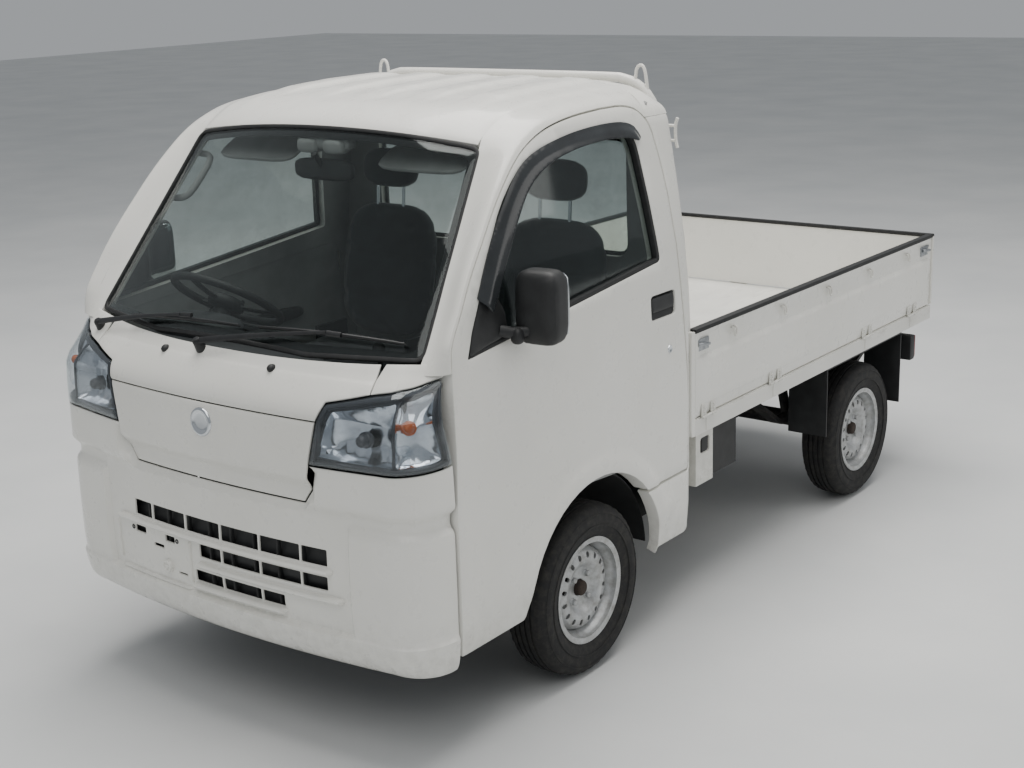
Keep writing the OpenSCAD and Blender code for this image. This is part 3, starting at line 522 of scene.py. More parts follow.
# Front bumper: one wide moulding of painted polypropylene with proud corner
# blocks, a set-back middle with the grille slots, and a chin. It is clipped
# to the cab and hooks round to the door seams. The paint is the body's.


def nose_at(x, z, y=None):
    """Skin coordinates of the point of the nose at (x, z), or at (y, z) on its side."""
    u = arc_at(x) if y is None else float(np.interp(y, _plan[:, 1], _arc))
    ws = np.linspace(250, 1130, 441)
    for _ in range(5):
        w = float(np.interp(z, nose_skin(np.full(441, u), ws)[:, 2], ws))
        p = nose_skin(np.array([u]), np.array([w]))[0]
        u += (x - p[0]) if y is None else (y - p[1])
    return (float(u), w)


SHUT = 2.5  # half of a shut gap between panels
GARNISH_EDGE = [nose_at(x, z) for x, z in ((413, 966), (386, 843), (372, 765), (345, 727))]
LAMP_EDGE = [nose_at(x, z) for x, z in ((386, 843), (413, 966), (432, 1016), (565, 1046),
    (649, 1063))] + [nose_at(0, 1089, y=-647), nose_at(0, 858, y=-645), nose_at(700, 851),
    nose_at(654, 848)]


def reflected(path):
    return [(-u, w) for u, w in reversed(path)]


def shrunk(loop, by):
    """Closed outline moved in by a distance; the outline may run either way round."""
    loop = np.asarray(loop, float)
    area = np.sum(loop[:, 0] * np.roll(loop[:, 1], -1) - np.roll(loop[:, 0], -1) * loop[:, 1])
    out = []
    for i, p in enumerate(loop):
        a, b = p - loop[i - 1], loop[(i + 1) % len(loop)] - p
        a, b = a / np.linalg.norm(a), b / np.linalg.norm(b)
        na, nb = np.array([-a[1], a[0]]), np.array([-b[1], b[0]])
        mid = (na + nb) / max(1 + np.dot(na, nb), 0.4)
        out.append(p + mid * by * np.sign(area))
    return np.array(out)


garnish_loop = np.array(GARNISH_EDGE + reflected(GARNISH_EDGE))
BLOCK_IN, CHIN, BLOCK_TOP = 500.0, 370.0, 655.0
LEDGE = 30.0  # depth of the recess under the garnish


def bumper_relief(u, w):
    middle_part = 1 - fade(np.abs(u), BLOCK_IN - 7, BLOCK_IN + 7)
    above_chin = fade(w, CHIN - 4, CHIN + 5)
    groove = fade(w, BLOCK_TOP, BLOCK_TOP + 36) * (1 - fade(w, 712, 742))
    block = -7.0 * above_chin * (1 - fade(w, BLOCK_TOP, BLOCK_TOP + 20)) - 22 * groove
    centre = -20.0 * above_chin * (1 - fade(w, 700, 742))
    depth = middle_part * centre + (1 - middle_part) * block
    points = np.stack([u, w], 1)
    rim = gap_to(points, [garnish_loop])
    ledge = -LEDGE * (1 - fade(rim, 4, 32)) * (1 - fade(w, 820, 843))
    return np.minimum(depth, ledge)


ROW_TOP = ((-360, -284), (-273, -132), (-121, 16), (27, 170), (181, 322), (333, 418))
ROW_MIDDLE = ((-68, 16), (27, 170), (181, 322), (333, 416))
ROW_LOW = ((-93, 16), (27, 170), (181, 258))
slots = [(a, b, z0, z1) for row, z0, z1 in ((ROW_TOP, 558, 606), (ROW_MIDDLE, 488, 527),
    (ROW_LOW, 408, 444)) for a, b in row]
slots += [(-369, -321, 503, 523), (-223, -184, 503, 522), (-280, -237, 476, 486),
    (-174, -137, 410, 416)]
slot_loops = [rounded([(a - 2, z0), (b + 2, z0), (b + 2, z1), (a - 2, z1)], 3, 2)
    for a, b, z0, z1 in slots]
PLATE_HOLES = [(-275 + s * 105, 513) for s in (-1, 1)]


bumper_side = [nose_at(0, z, y=-639.5) for z in (270, 380, 560, 700, 856)]
lamp_under = [LAMP_EDGE[i] for i in (6, 7, 8, 0)]
right_half = bumper_side[:-1] + lamp_under + GARNISH_EDGE[2:]
bumper_loop = shrunk(np.array(right_half + reflected(right_half)), SHUT)
detail_rows = [(u, w) for w in (362, 366, 371, 376, 655, 668, 681, 693, 703, 716, 730, 742)
    for u in np.arange(-830, 831, 14)]
detail_rows += [(s * u, w) for s in (-1, 1) for u in (488, 494, 500, 506, 512)
    for w in np.arange(376, 735, 14)]
front_bumper = pressed("front_bumper_cover", nose_skin, bumper_loop, body_enamel, slot_loops,
    thick=3, roll=2.5, grid=17, step=9, relief=bumper_relief, extra=[detail_rows])
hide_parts("front_bumper")


def facing(skin, a, b):
    """Outward direction of a skin, not of unit length."""
    return np.cross(skin(a + 0.5, b) - skin(a - 0.5, b), skin(a, b + 0.5) - skin(a, b - 0.5))


def bead(name, skin, path, width, height, skins, steps=7, mirror=False, base=-2.0, **rides):
    """Raised moulding of half-round section along a path on a skin, tapered at its ends."""
    path = np.asarray(path, float)
    long = np.concatenate([[0], np.cumsum(np.linalg.norm(np.diff(path, axis=0), axis=1))])
    count = max(8, int(long[-1] / 12))
    t = np.linspace(0, long[-1], count)
    line = np.stack([np.interp(t, long, path[:, 0]), np.interp(t, long, path[:, 1])], 1)
    run = np.gradient(line, axis=0)
    run /= np.linalg.norm(run, axis=1)[:, None]
    across = np.stack([-run[:, 1], run[:, 0]], 1)
    points = []
    for k in range(steps + 1):
        angle = math.pi * k / steps
        end = np.clip(np.minimum(t, long[-1] - t) / (width * 0.8), 0, 1)
        grow = np.sqrt(np.clip(1 - (1 - end) ** 2, 0, 1))
        flat = line + across * (math.cos(angle) * width / 2 * (0.35 + 0.65 * grow))[:, None]
        a, b = flat[:, 0], flat[:, 1]
        at = skin(a, b)
        out = facing(skin, a, b)
        out /= np.linalg.norm(out, axis=1)[:, None]
        rise = base + (height - base) * math.sin(angle) ** 0.7 * grow
        points.append(at + out * rise[:, None])
    rows = np.array(points)
    faces = []
    n = count
    for k in range(steps):
        for i in range(n - 1):
            faces.append([k * n + i, k * n + i + 1, (k + 1) * n + i + 1, (k + 1) * n + i])
    flat_points = rows.reshape(-1, 3)
    if mirror:
        flat_points, faces = mirrored(flat_points), flipped(faces)
    return piece(name, flat_points, flipped(faces), skins, **rides)


for name, u0, u1, w in (("upper_louvre", -440, 442, 544), ("middle_louvre", -78, 478, 467),
        ("lower_louvre", -104, 272, 398)):
    bead(name, nose_skin, [(u0, w), (u1, w)], 17, 0.5, body_enamel, base=-24)
bead("plate_ledge", nose_skin, [(-455, 376), (-112, 376)], 11, -9.0, body_enamel, base=-24)
for side in (-1, 1):
    bead("plate_field_edge_" + ("left" if side > 0 else "right"), nose_skin,
        [(-283 + side * 172, 390), (-283 + side * 172, 534)], 9, -13.0, body_enamel, base=-24)

# Grille screen: black moulded bars and a black sheet set behind the slots as painted
# shade, standing in for the dark of the radiator space. Satin, lightly dusty polypropylene.
black_moulding = finish("black_moulded_polypropylene", (60, 5),
    ((0.35, "1B1C1D"), (0.7, "2A2B2C")), (2.5, 3, 0.2, 0.5), roughness=0.55)


def behind(skin, depth):
    """The same skin set back by a depth."""

    def deeper(a, b):
        a, b = floats(a, b)
        out = facing(skin, a, b)
        return skin(a, b) - out / np.linalg.norm(out, axis=-1)[..., None] * depth

    return deeper


# black sheet set back behind the slots: painted shade for the radiator space
pressed("grille_duct", behind(nose_skin, 42), [(-470, 390), (470, 390), (470, 625), (-470, 625)],
    black_moulding, thick=2, roll=3, grid=40, slot="black_plastic",
    relief=lambda u, w: 6 * np.cos(w * math.pi / 11))
# black bars behind the slots, part of the same painted shade
for i, u in enumerate(np.linspace(-300, 420, 9)):
    bead(f"grille_bar_{i}", behind(nose_skin, 30), [(u, 395), (u, 620)], 8, 6, black_moulding,
        base=-8, slot="black_plastic")

# Plate boss: round rubber-capped stop moulded into the plate field.
boss_centre = (-217, 427)


def lathe(profile, at, axis, count=32, closed=False, sweep=2 * math.pi):
    """Points and faces of a profile [(radius, along)] turned round an axis at a point."""
    axis = np.array(axis, float) / np.linalg.norm(axis)
    ref = np.array([0, 0, 1.0]) if abs(axis[2]) < 0.9 else np.array([1.0, 0, 0])
    a = np.cross(ref, axis)
    a /= np.linalg.norm(a)
    b = np.cross(axis, a)
    points, n = [], len(profile)
    for k in range(count):
        t = sweep * k / count
        ray_out = a * math.cos(t) + b * math.sin(t)
        points += [np.array(at, float) + ray_out * r + axis * h for r, h in profile]
    faces = []
    last = n if closed else n - 1
    for k in range(count):
        for i in range(last):
            j, m = (i + 1) % n, (k + 1) % count
            faces.append([k * n + i, k * n + j, m * n + j, m * n + i])
    return np.array(points), faces


def skin_frame(skin, a, b):
    """Point and outward normal of a skin."""
    a, b = np.array([a], float), np.array([b], float)
    out = facing(skin, a, b)[0]
    return skin(a, b)[0], out / np.linalg.norm(out)


at, out = skin_frame(nose_skin, *boss_centre)
piece("plate_stop", *lathe([(0, -9), (6, -9), (8, -12), (11, -12), (13, -8), (18, -8), (20, -11),
    (20, -23)], at, out, 28), body_enamel)
for k, (x, z) in enumerate(PLATE_HOLES):
    at, out = skin_frame(nose_skin, x, z)
    piece(f"plate_nut_{k}", *lathe([(3.2, -23), (3.2, -18.5), (7, -18.5), (7.6, -19.5),
        (7.6, -24)], at, out, 18), black_moulding, slot="black_plastic")

# Front garnish: a separate painted panel between the lamps, bowed like the
# nose, with a flat shield round the badge and a deep undercut at the foot.


def garnish_relief(u, w):
    foot = -LEDGE * (1 - fade(w, 764, 812))
    shield = 2.2 * fade(w, 858, 872) * (1 - fade(np.abs(u), 66, 92))
    return foot + shield


garnish = pressed("front_garnish_panel", nose_skin, shrunk(garnish_loop, SHUT), body_enamel,
    thick=3, roll=3, grid=20, relief=garnish_relief, extra=[[(u, w)
    for w in (766, 776, 786, 796, 806, 856, 862, 868, 874) for u in np.arange(-400, 401, 14)],
    [(s * u, w) for s in (-1, 1) for u in (64, 72, 80, 88, 94) for w in np.arange(860, 966, 14)]])
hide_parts("front_garnish")

# Badge: a plain generic disc with a rim, chromium-plated plastic.
chrome, tree, skin = material("chromium_plate", base_color=linear("D4D8DC"), metallic=1.0)
feed(tree, skin, roughness=levels(tree, grain(tree, 30, 4), 0.06, 0.16))
at, out = skin_frame(nose_skin, 0, 908)
oval = [(0, 3.2), (20, 3.4), (27, 4.2), (30, 6.2), (33, 7.6), (37, 7.6), (40, 5.6), (41.5, 2.0),
    (41.5, -2)]
piece("front_badge", *lathe(oval, at, out, 56), chrome, slot="lamp_lens")

# Scuttle panel: the pressed steel between the windscreen, the lamps and the
# garnish, in three parts with upright joints, spot-welded below the screen.
COWL_X, TOP_W = 553.0, SEAM + 147
cowl_u = arc_at(COWL_X)
half_hood = [LAMP_EDGE[1], LAMP_EDGE[2], nose_at(500, 1031)] + [(cowl_u, nose_at(553, 1043)[1]),
    (cowl_u - 4, 1075), (cowl_u - 12, TOP_W)]
hood_loop = shrunk(np.array(half_hood + reflected(half_hood)), 1.4)


def hood_relief(u, w):
    step_line = SEAM + 112 - 10 * (np.abs(u) / 550) ** 2
    return -2.2 * fade(w, step_line - 5, step_line + 5)


hood = pressed("scuttle_panel", nose_skin, hood_loop, body_enamel, thick=2, roll=2.5, grid=20,
    relief=hood_relief, extra=[[(u, SEAM + 112 + d - 10 * (u / 550) ** 2)
    for u in np.arange(-540, 541, 14) for d in (-6, -2, 2, 6)]])
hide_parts("cab_front_panel")
corner_top = [(u, TOP_W) for u in np.linspace(cowl_u + 2, ARC_DOOR - 4, 7)]
corner_loop = np.array([(cowl_u, nose_at(556, 1043)[1]), LAMP_EDGE[4], LAMP_EDGE[5],
    nose_at(0, 1100, y=-641)] + corner_top[::-1] + [(cowl_u - 4, 1075)])
corner_loop = shrunk(corner_loop, 1.4)
for mirror in (False, True):
    pressed(("right" if mirror else "left") + "_scuttle_corner", nose_skin, corner_loop,
        body_enamel, thick=2, roll=2.5, grid=20, mirror=mirror)

# Doors: outer skin and inner panel hemmed together round the edge, with the
# window frame in one piece. Sheet steel in body paint, with the wheel arch
# cut into the lower corner. They hang on two hinges at the front.
DOOR_GAP = 4.5
ARCH_AT, ARCH_R = np.array([15.0, 275.0]), 350.0


def arch(first, last, steps=18, radius=ARCH_R):
    return [tuple(ARCH_AT + radius * np.array([math.cos(a), math.sin(a)]))
        for a in np.radians(np.linspace(first, last, steps))]


def drawn(points, step=16.0):
    """Smooth line through a few points."""
    p = np.asarray(points, float)
    ends = np.concatenate([[2 * p[0] - p[1]], p, [2 * p[-1] - p[-2]]])
    out = []
    for i in range(1, len(ends) - 2):
        a, b, c, d = ends[i - 1 : i + 3]
        n = max(2, int(np.linalg.norm(c - b) / step))
        for k in range(n):
            t = k / n
            out.append(0.5 * (2 * b + (c - a) * t + (2 * a - 5 * b + 4 * c - d) * t**2 +
                (3 * b - a - 3 * c + d) * t**3))
    return [tuple(q) for q in out] + [tuple(p[-1])]


FRONT_SEAM = [(-636, 1062), (-626, 1160), (-578, 1237), (-520, 1320), (-440, 1414), (-351, 1510),
    (-247, 1597), (-160, 1640), (-60, 1667), (60, 1682), (205, 1689)]
REAR_SEAM = [(205, 1689), (310, 1687), (375, 1672), (415, 1642), (440, 1596), (463, 1500),
    (478, 1400), (492, 1250), (503, 1100), (530, 866), (545, 700)]
door_edge = ([(-345, 302), (-632, 300), (-638, 320), (-639, 700),
    (-634, 858)] + drawn(FRONT_SEAM)[:-1] + drawn(REAR_SEAM) + [(546, 520), (530, 503),
    (285, 503)] + arch(42, 166))
door_edge = door_edge[::-1]
WINDOW = [(-560, 1120), (-535, 1185), (-448, 1336), (-364, 1462), (-300, 1525), (-248, 1560),
    (-150, 1598), (0, 1619), (150, 1628), (265, 1625), (315, 1608), (343, 1570), (362, 1440),
    (380, 1300), (390, 1214)]
window = rounded([(-562, 1118, 6), (390, 1212, 16)] + [p + (8,)
    for p in drawn(WINDOW[1:-1], 40)[::-1]], 8, 3)
HANDLE = (324, 462, 1036, 1112)
handle_hole = rounded([(HANDLE[0], HANDLE[2]), (HANDLE[1], HANDLE[2]), (HANDLE[1], HANDLE[3]),
    (HANDLE[0], HANDLE[3])], 14, 4)
FLARE = 9.0


def door_relief(y, z):
    """Flared lip over the wheel."""
    r = np.hypot(y - ARCH_AT[0], z - ARCH_AT[1])
    flare = FLARE * (1 - fade(r, ARCH_R + 42, ARCH_R + 74))
    return flare * fade(z, 300, 420) * fade(-y, -470, -380)


flare_rows = [tuple(ARCH_AT + r * np.array([math.cos(a), math.sin(a)]))
    for r in (358, 375, 392, 402, 412, 424, 436) for a in np.radians(np.arange(-5, 172, 2.6))]
for hand, mirror in HANDS:
    door = pressed(f"{hand}_door_shell", side_skin, shrunk(door_edge, DOOR_GAP), body_enamel,
        [window, handle_hole], thick=46, roll=4, grid=30, relief=door_relief, extra=[flare_rows],
        mirror=mirror, inner=cab_lining, body=f"{hand}_door")
    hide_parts(f"{hand}_door")

# Door handles: black moulded flap in a dished body-colour cup, with a small
# chromed key cylinder below it.
for hand, mirror in HANDS:
    y0, y1, z0, z1 = HANDLE
    pressed(f"{hand}_handle_cup", behind(side_skin, 17),
        rounded([(y0 - 5, z0 - 5), (y1 + 5, z0 - 5), (y1 + 5, z1 + 5), (y0 - 5, z1 + 5)], 14, 4),
        black_moulding, thick=2, roll=0.5, grid=14, mirror=mirror, body=f"{hand}_door",
        slot="black_plastic", relief=lambda y, z: 15 * (1 - fade(gap_to(np.stack([y, z], 1),
        [handle_hole]), 1, 12)))
    pressed(f"{hand}_pull_handle", behind(side_skin, 4),
        rounded([(y0 + 5, z0 + 22), (y1 - 5, z0 + 22), (y1 - 5, z1 - 6), (y0 + 5, z1 - 6)], 12, 4),
        black_moulding, thick=8, roll=6, grid=9, mirror=mirror, body=f"{hand}_door",
        slot="black_plastic", relief=lambda y, z: 4 * np.cos((z - 1078) / 24))
    at, out = skin_frame(side_skin, 425, 929)
    piece(f"{hand}_key_cylinder", *lathe([(0, 0.5), (6, 0.8), (9.5, 2.2), (12, 2.0), (13.5, -0.5),
        (13.5, -2)], at, out, 24), chrome, body=f"{hand}_door", mirror=mirror)

# Glass: float glass with a faint green-grey tint, clear and mirror smooth.
def pane(name, clean, smeared, sheen=1.0):
    made = bpy.data.materials.new(name)
    made.use_nodes = True
    tree = made.node_tree
    tree.nodes.clear()
    smear = grain(tree, 160, 5, 0.7)
    clear = put(tree, "BsdfTransparent", {"color": shades(tree, smear, (0.3, clean),
        (0.75, smeared))})
    mirror_coat = put(tree, "BsdfGlossy", {"roughness": levels(tree, smear, 0.02, 0.07)})
    mirror_coat.inputs["Color"].default_value = linear("F2F6F6")
    # the same on both skins of the pane, so it never turns into a full mirror
    edge = put(tree, "LayerWeight", blend=0.5).outputs["Facing"]
    steep = put(tree, "Math", {0: edge}, operation="POWER")
    steep.inputs[1].default_value = 4.0
    share = put(tree, "Math", {0: steep}, operation="MULTIPLY_ADD")
    share.inputs[1].default_value, share.inputs[2].default_value = 0.7 * sheen, 0.03 * sheen
    mixed = put(tree, "MixShader", {0: share, 1: clear, 2: mirror_coat})
    put(tree, "OutputMaterial", {"surface": mixed})
    return made


screen_glass = pane("tinted_laminated_glass", "F2F5F4", "E9ECEB", 1.0)
side_glass = pane("tinted_toughened_glass", "EBF0EF", "E2E6E5", 1.0)

# Rubber: extruded EPDM, dull black with a faint bloom.
rubber_seal = finish("extruded_rubber_seal", (25, 5), ((0.35, "141516"), (0.75, "232425")),
    (1.5, 2, 0.15, 0.4), roughness=0.62)

# Door windows: toughened panes in black channel seals.
for hand, mirror in HANDS:
    glass = pressed(f"{hand}_door_window", behind(side_skin, 17), shrunk(window, -3), side_glass,
        thick=3.5, roll=0.4, grid=60, mirror=mirror, body=f"{hand}_door", slot="glass")
    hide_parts(f"{hand}_door_glass")
    pressed(f"{hand}_window_channel", behind(side_skin, 2), shrunk(window, -3), rubber_seal,
        [shrunk(window, 13)], thick=20, roll=3, grid=40, step=12, mirror=mirror,
        body=f"{hand}_door", slot="black_plastic")

# Cab sides behind the doors: quarter panels from the seam to the back, with
# the rear of the wheel arch. One pressing a side, in body paint.
quarter = ([(420, 1641), (440, 1600), (463, 1500), (478, 1400), (492, 1250), (503, 1100),
    (530, 866), (546, 700), (547, 520), (531, 500), (288, 500)] + arch(39, -2, 8) + [(372, 286),
    (536, 285), (CAB_REAR - 2, 305), (CAB_REAR - 2, 950), (CAB_REAR - 6, 1100),
    (CAB_REAR - 16, 1300), (CAB_REAR - 17, 1641)])
for hand, mirror in HANDS:
    side_panel = pressed(f"{hand}_quarter_panel", side_skin, quarter, body_enamel, thick=36,
        roll=3, grid=24, relief=lambda y, z: door_relief(np.minimum(y, 380), z) * fade(-y, -470,
        -400), extra=[flare_rows], mirror=mirror, inner=cab_lining)
    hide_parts(f"cab_side_{hand}")


# Pillars and roof rails: one swept pressing a side from the pillar foot, up
# beside the windscreen and back over the door.
def unit(v):
    return v / (np.linalg.norm(v, axis=-1)[..., None] + 1e-12)


SCREEN_EDGE = [(642, 40), (641, 100), (629, 205), (612, 315), (597, 430), (581, 545), (566, 650)]
ROOF_EDGE = 545.0
low_line = np.array(drawn([(-632.5, 1098)] + FRONT_SEAM[1:], 22)[:-1] + drawn(REAR_SEAM[:4],
    22) + [(445, 1641), (490, 1641), (543, 1641)])
inner_screen = windscreen(*np.array(drawn(SCREEN_EDGE, 20)).T)
corner_mid = windscreen(np.array([556.0, 548.0]), np.array([690.0, 706.0]))
roof_run = np.linspace(-236, CAB_REAR - 18, 46)
inner_line = np.concatenate([inner_screen, corner_mid[:1],
    roof_skin(np.full(46, ROOF_EDGE), roof_run)])
outer_points = side_skin(*low_line.T)


def shared(line, stops):
    """Points of a line at given shares of the way between matched stops."""
    long = np.concatenate([[0], np.cumsum(np.linalg.norm(np.diff(line, axis=0), axis=1))])
    at = [long[int(np.argmin(np.linalg.norm(line - np.array(s), axis=1)))] for s in stops]
    out = []
    for a, b in zip(at, at[1:]):
        out += list(np.linspace(a, b, 24, endpoint=False))
    out.append(at[-1])
    return np.stack([np.interp(out, long, line[:, k]) for k in range(3)], 1)


a_stops = [inner_line[0], windscreen(612.0, 315.0), windscreen(566.0, 650.0),
    roof_skin(np.array([ROOF_EDGE]), np.array([0.0]))[0],
    roof_skin(np.array([ROOF_EDGE]), np.array([430.0]))[0], inner_line[-1]]
b_stops = [outer_points[0], side_skin(-520, 1320), side_skin(-247, 1597), side_skin(0, 1675),
    side_skin(420, 1641), outer_points[-1]]
line_a, line_b = shared(inner_line, a_stops), shared(outer_points, b_stops)
run_b = unit(np.gradient(line_b, axis=0))
d_ab = line_b - line_a
blend_roof = fade(np.arange(len(line_a)), 42, 60)[:, None]
x_of = line_a[:, :1]
screen_way = np.concatenate([np.ones_like(x_of), 0.777 * x_of / 2700, -0.629 * x_of / 2700], 1)
roof_way = np.array([[1.0, 0.0, -0.30]])
way_a = unit(screen_way * (1 - blend_roof) + roof_way * blend_roof)
down_slope = (side_inset(line_b[:, 2] - 5) - side_inset(line_b[:, 2] + 5)) / 10.0
normal_b = unit(np.stack([np.ones(len(line_b)), np.zeros(len(line_b)), -down_slope], 1))
way_b = unit(np.cross(normal_b, run_b))
way_b *= np.sign(way_b @ np.array([0, 0.6, -0.8]))[:, None]
span = np.linalg.norm(d_ab, axis=1)[:, None]
rows = []
SECTIONS = 12
for k in range(SECTIONS + 1):
    t = k / SECTIONS
    rows.append((2 * t**3 - 3 * t**2 + 1) * line_a + (t**3 - 2 * t**2 + t) * way_a * span * 0.95 +
        (-2 * t**3 + 3 * t**2) * line_b + (t**3 - t**2) * way_b * span * 0.95)
net = np.array(rows)
along, across = np.gradient(net, axis=1), np.gradient(net, axis=0)
outward = unit(np.cross(across, along))
if outward[6, 60, 2] < 0:
    outward = -outward
lips = [net[0] - outward[0] * 3 - across[0] * 0.05, net[0] + unit(across[0]) * 1.5]
net_all = np.concatenate([[lips[0]], net, [net[-1] - outward[-1] * 3 + across[-1] * 0.02]])
normals_all = np.concatenate([[outward[0]], outward, [outward[-1]]])
count = net_all.shape[1]
outer_face = [[k * count + i, (k + 1) * count + i, (k + 1) * count + i + 1, k * count + i + 1]
    for k in range(len(net_all) - 1) for i in range(count - 1)]
depth_in = np.full((len(net_all), count, 1), 30.0)
back_net = net_all - normals_all * depth_in
base = net_all.shape[0] * count
inner_face = [[v + base for v in f[::-1]] for f in outer_face]
last = (len(net_all) - 1) * count
rim = [[i + 1, i, i + base, i + 1 + base] for i in range(count - 1)]
rim += [[last + i, last + i + 1, last + i + 1 + base, last + i + base] for i in range(count - 1)]
for hand, mirror in HANDS:
    points = np.concatenate([net_all.reshape(-1, 3), back_net.reshape(-1, 3)])
    test = np.cross(net_all[5, 60] - net_all[4, 60], net_all[4, 61] - net_all[4, 60])
    right_way = np.dot(test, outward[4, 60]) > 0
    groups = [outer_face, inner_face, rim]
    if not right_way:
        groups = [flipped(g) for g in groups]
    if mirror:
        points, groups = mirrored(points), [flipped(g) for g in groups]
    piece(f"{hand}_pillar_and_rail", points, list(zip(groups, (0, 1, 0))),
        [body_enamel, cab_lining], smooth=40)

# Roof panel: shallow lengthwise beads stiffen the pressing; it is welded to
# the rails and folds down at the back.
front_edge = [(x, float(windscreen(x, SCREEN_TOP)[1])) for x in np.linspace(-ROOF_EDGE, ROOF_EDGE,
    25)]
roof_loop = front_edge + [(ROOF_EDGE, CAB_REAR - 18), (-ROOF_EDGE, CAB_REAR - 18)]
BEADS = (-400, -200, 0, 200, 400)


def roof_relief(x, y):
    lift = np.zeros_like(x)
    for centre in BEADS:
        lift += 9.0 * (1 - fade(np.abs(x - centre), 32, 60))
    return lift * fade(y, -150, 60) * fade(-y, -480, -430)


bead_rows = [(c + d, y) for c in BEADS for d in (-66, -56, -48, -40, -32, 32, 40, 48, 56, 66)
    for y in np.arange(-150, 500, 22)]
roof = pressed("roof_panel", roof_skin, roof_loop, body_enamel, thick=28, roll=0.6, grid=30,
    relief=roof_relief, extra=[bead_rows], inner=cab_lining)
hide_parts("cab_roof")

# Back panel of the cab: flat pressing with swaged bands under the window.
back_side = [(HALF_WIDTH - 20 - float(side_inset(z)), z)
    for z in (340, 640, 950, 1140, 1300, 1450, 1560, 1640)]
back_top = [(604, 1668), (556, 1696), (438, 1712), (300, 1718)]
back_loop = back_side + back_top + [(-x, z) for x, z in (back_side + back_top)[::-1]]
back_hole = rounded([(-520, 1180), (520, 1180), (520, 1560), (-520, 1560)], 50, 8)


def back_relief(x, z):
    bands = sum(np.asarray(5.0 * (1 - fade(np.abs(z - c), 22, 38))) for c in (760, 900, 1040))
    return bands * (1 - fade(np.abs(x), 480, 530))


back = pressed("back_panel", back_skin, back_loop, body_enamel, [back_hole], thick=24, roll=9,
    grid=34, relief=back_relief, turn=True, inner=cab_lining,
    extra=[[(x, c + d) for c in (760, 900, 1040) for d in (-38, -30, -22, 22, 30, 38)
    for x in np.arange(-560, 561, 28)]])
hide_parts("cab_back_panel")
pressed("rear_window_seal", back_skin, shrunk(back_hole, -9), rubber_seal, [shrunk(back_hole, 12)],
    thick=6, roll=4, grid=60, step=14, turn=True, slot="black_plastic",
    relief=lambda x, z: 5 + 0 * x)
rear_pane = pressed("rear_window", behind(back_skin, -9), shrunk(back_hole, -1), side_glass,
    thick=4, roll=0.4, grid=90, step=20, turn=True, slot="glass")
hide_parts("rear_window_glass")

# Windscreen: laminated glass bonded behind a black fired border, with a
# thin rubber moulding round it.
half_screen = [(300, 22), (450, 45), (590, 70), (628, 78), (640, 96), (557, 690), (540, 704),
    (500, 706), (300, 711)]
screen_loop = rounded(half_screen + [(-x, s) for x, s in half_screen[::-1]], 14, 3)


def on_screen(deep):
    return lambda x, s: windscreen(x, s, deep)


screen = pressed("windscreen_pane", on_screen(3), screen_loop, screen_glass, thick=4, roll=0.4,
    grid=60, step=16, slot="glass")
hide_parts("windshield_glass")

# Border: ceramic frit fired on the glass, jet black and glossy under it.
fired_border = finish("fired_black_border", (12, 3), ((0.3, "0B0C0D"), (0.7, "141516")),
    roughness=0.25, ior=1.5)
screen_inner = []
for x, s in screen_loop:
    screen_inner.append((x * (1 - 26 / 600), 96 + (s - 96) * (1 - 30 / 600) if s > 200 else s + 42
        * (1 - abs(x) / 1100)))
pressed("windscreen_border", on_screen(8), screen_loop, fired_border, [np.array(screen_inner)],
    thick=0.8, roll=0.3, grid=60, step=16, slot="black_plastic")
pressed("windscreen_moulding", on_screen(1), shrunk(screen_loop, -7), rubber_seal,
    [shrunk(screen_loop, 6)], thick=8, roll=3.5, grid=60, step=14, slot="black_plastic",
    relief=lambda x, s: 1.5 + 0 * x)

# Headlamps: clear polycarbonate lens over a chromed reflector bowl and a
# silver indicator chamber with an amber bulb, in a grey moulded frame.
lamp_loop = shrunk(rounded([tuple(p) + (10,) for p in LAMP_EDGE], 10, 3), SHUT)
lamp_frame_inner = shrunk(lamp_loop, 13)
frame_grey = finish("dark_grey_moulded_frame", (40, 4), ((0.35, "303236"), (0.7, "3D3F43")),
    roughness=0.35)
lens_clear = pane("clear_polycarbonate_lens", "F8FAFC", "F0F2F4", 1.3)

# Vacuum-plated reflector: aluminium film, mirror bright with soft flutes.
reflector_film, tree, skin = material("aluminised_reflector", metallic=1.0)
feed(tree, skin, base_color=shades(tree, grain(tree, 45, 3), (0.3, "C9CDD2"), (0.7, "E6E9EC")),
    roughness=levels(tree, grain(tree, 18, 4), 0.08, 0.24))
amber_glass = finish("amber_lamp_glass", (8, 3), ((0.3, "A84A12"), (0.7, "C8651E")), roughness=0.2,
    emission_strength=0.0)
SPLIT_U = float(arc_at(650))
main_part = rounded([tuple(nose_at(405, 866)) + (10,), (SPLIT_U - 5, 862, 14),
    (SPLIT_U - 5, nose_at(640, 1040)[1], 16), tuple(nose_at(560, 1024)) + (12,),
    tuple(nose_at(448, 1001)) + (10,)], 10, 4)
turn_part = rounded([(SPLIT_U + 5, 864, 14), tuple(nose_at(712, 866)) + (10,),
    tuple(nose_at(0, 876, y=-668)) + (10,), tuple(nose_at(0, 1062, y=-670)) + (12,),
    (SPLIT_U + 5, nose_at(662, 1044)[1], 16)], 10, 4)


def bowl(loop, deepest, flutes=0.0):
    centre = np.mean(loop, axis=0)
    far = np.max(gap_to(centre[None], [loop]))

    def relief(u, w):
        edge = gap_to(np.stack([u, w], 1), [loop])
        lift = -deepest * np.sqrt(np.clip(1 - (1 - np.clip(edge / far, 0, 1)) ** 2.4, 0, 1))
        return lift + flutes * np.cos((u - centre[0]) * 2 * math.pi / 15) * np.clip(edge / 20, 0,
            1)

    return relief


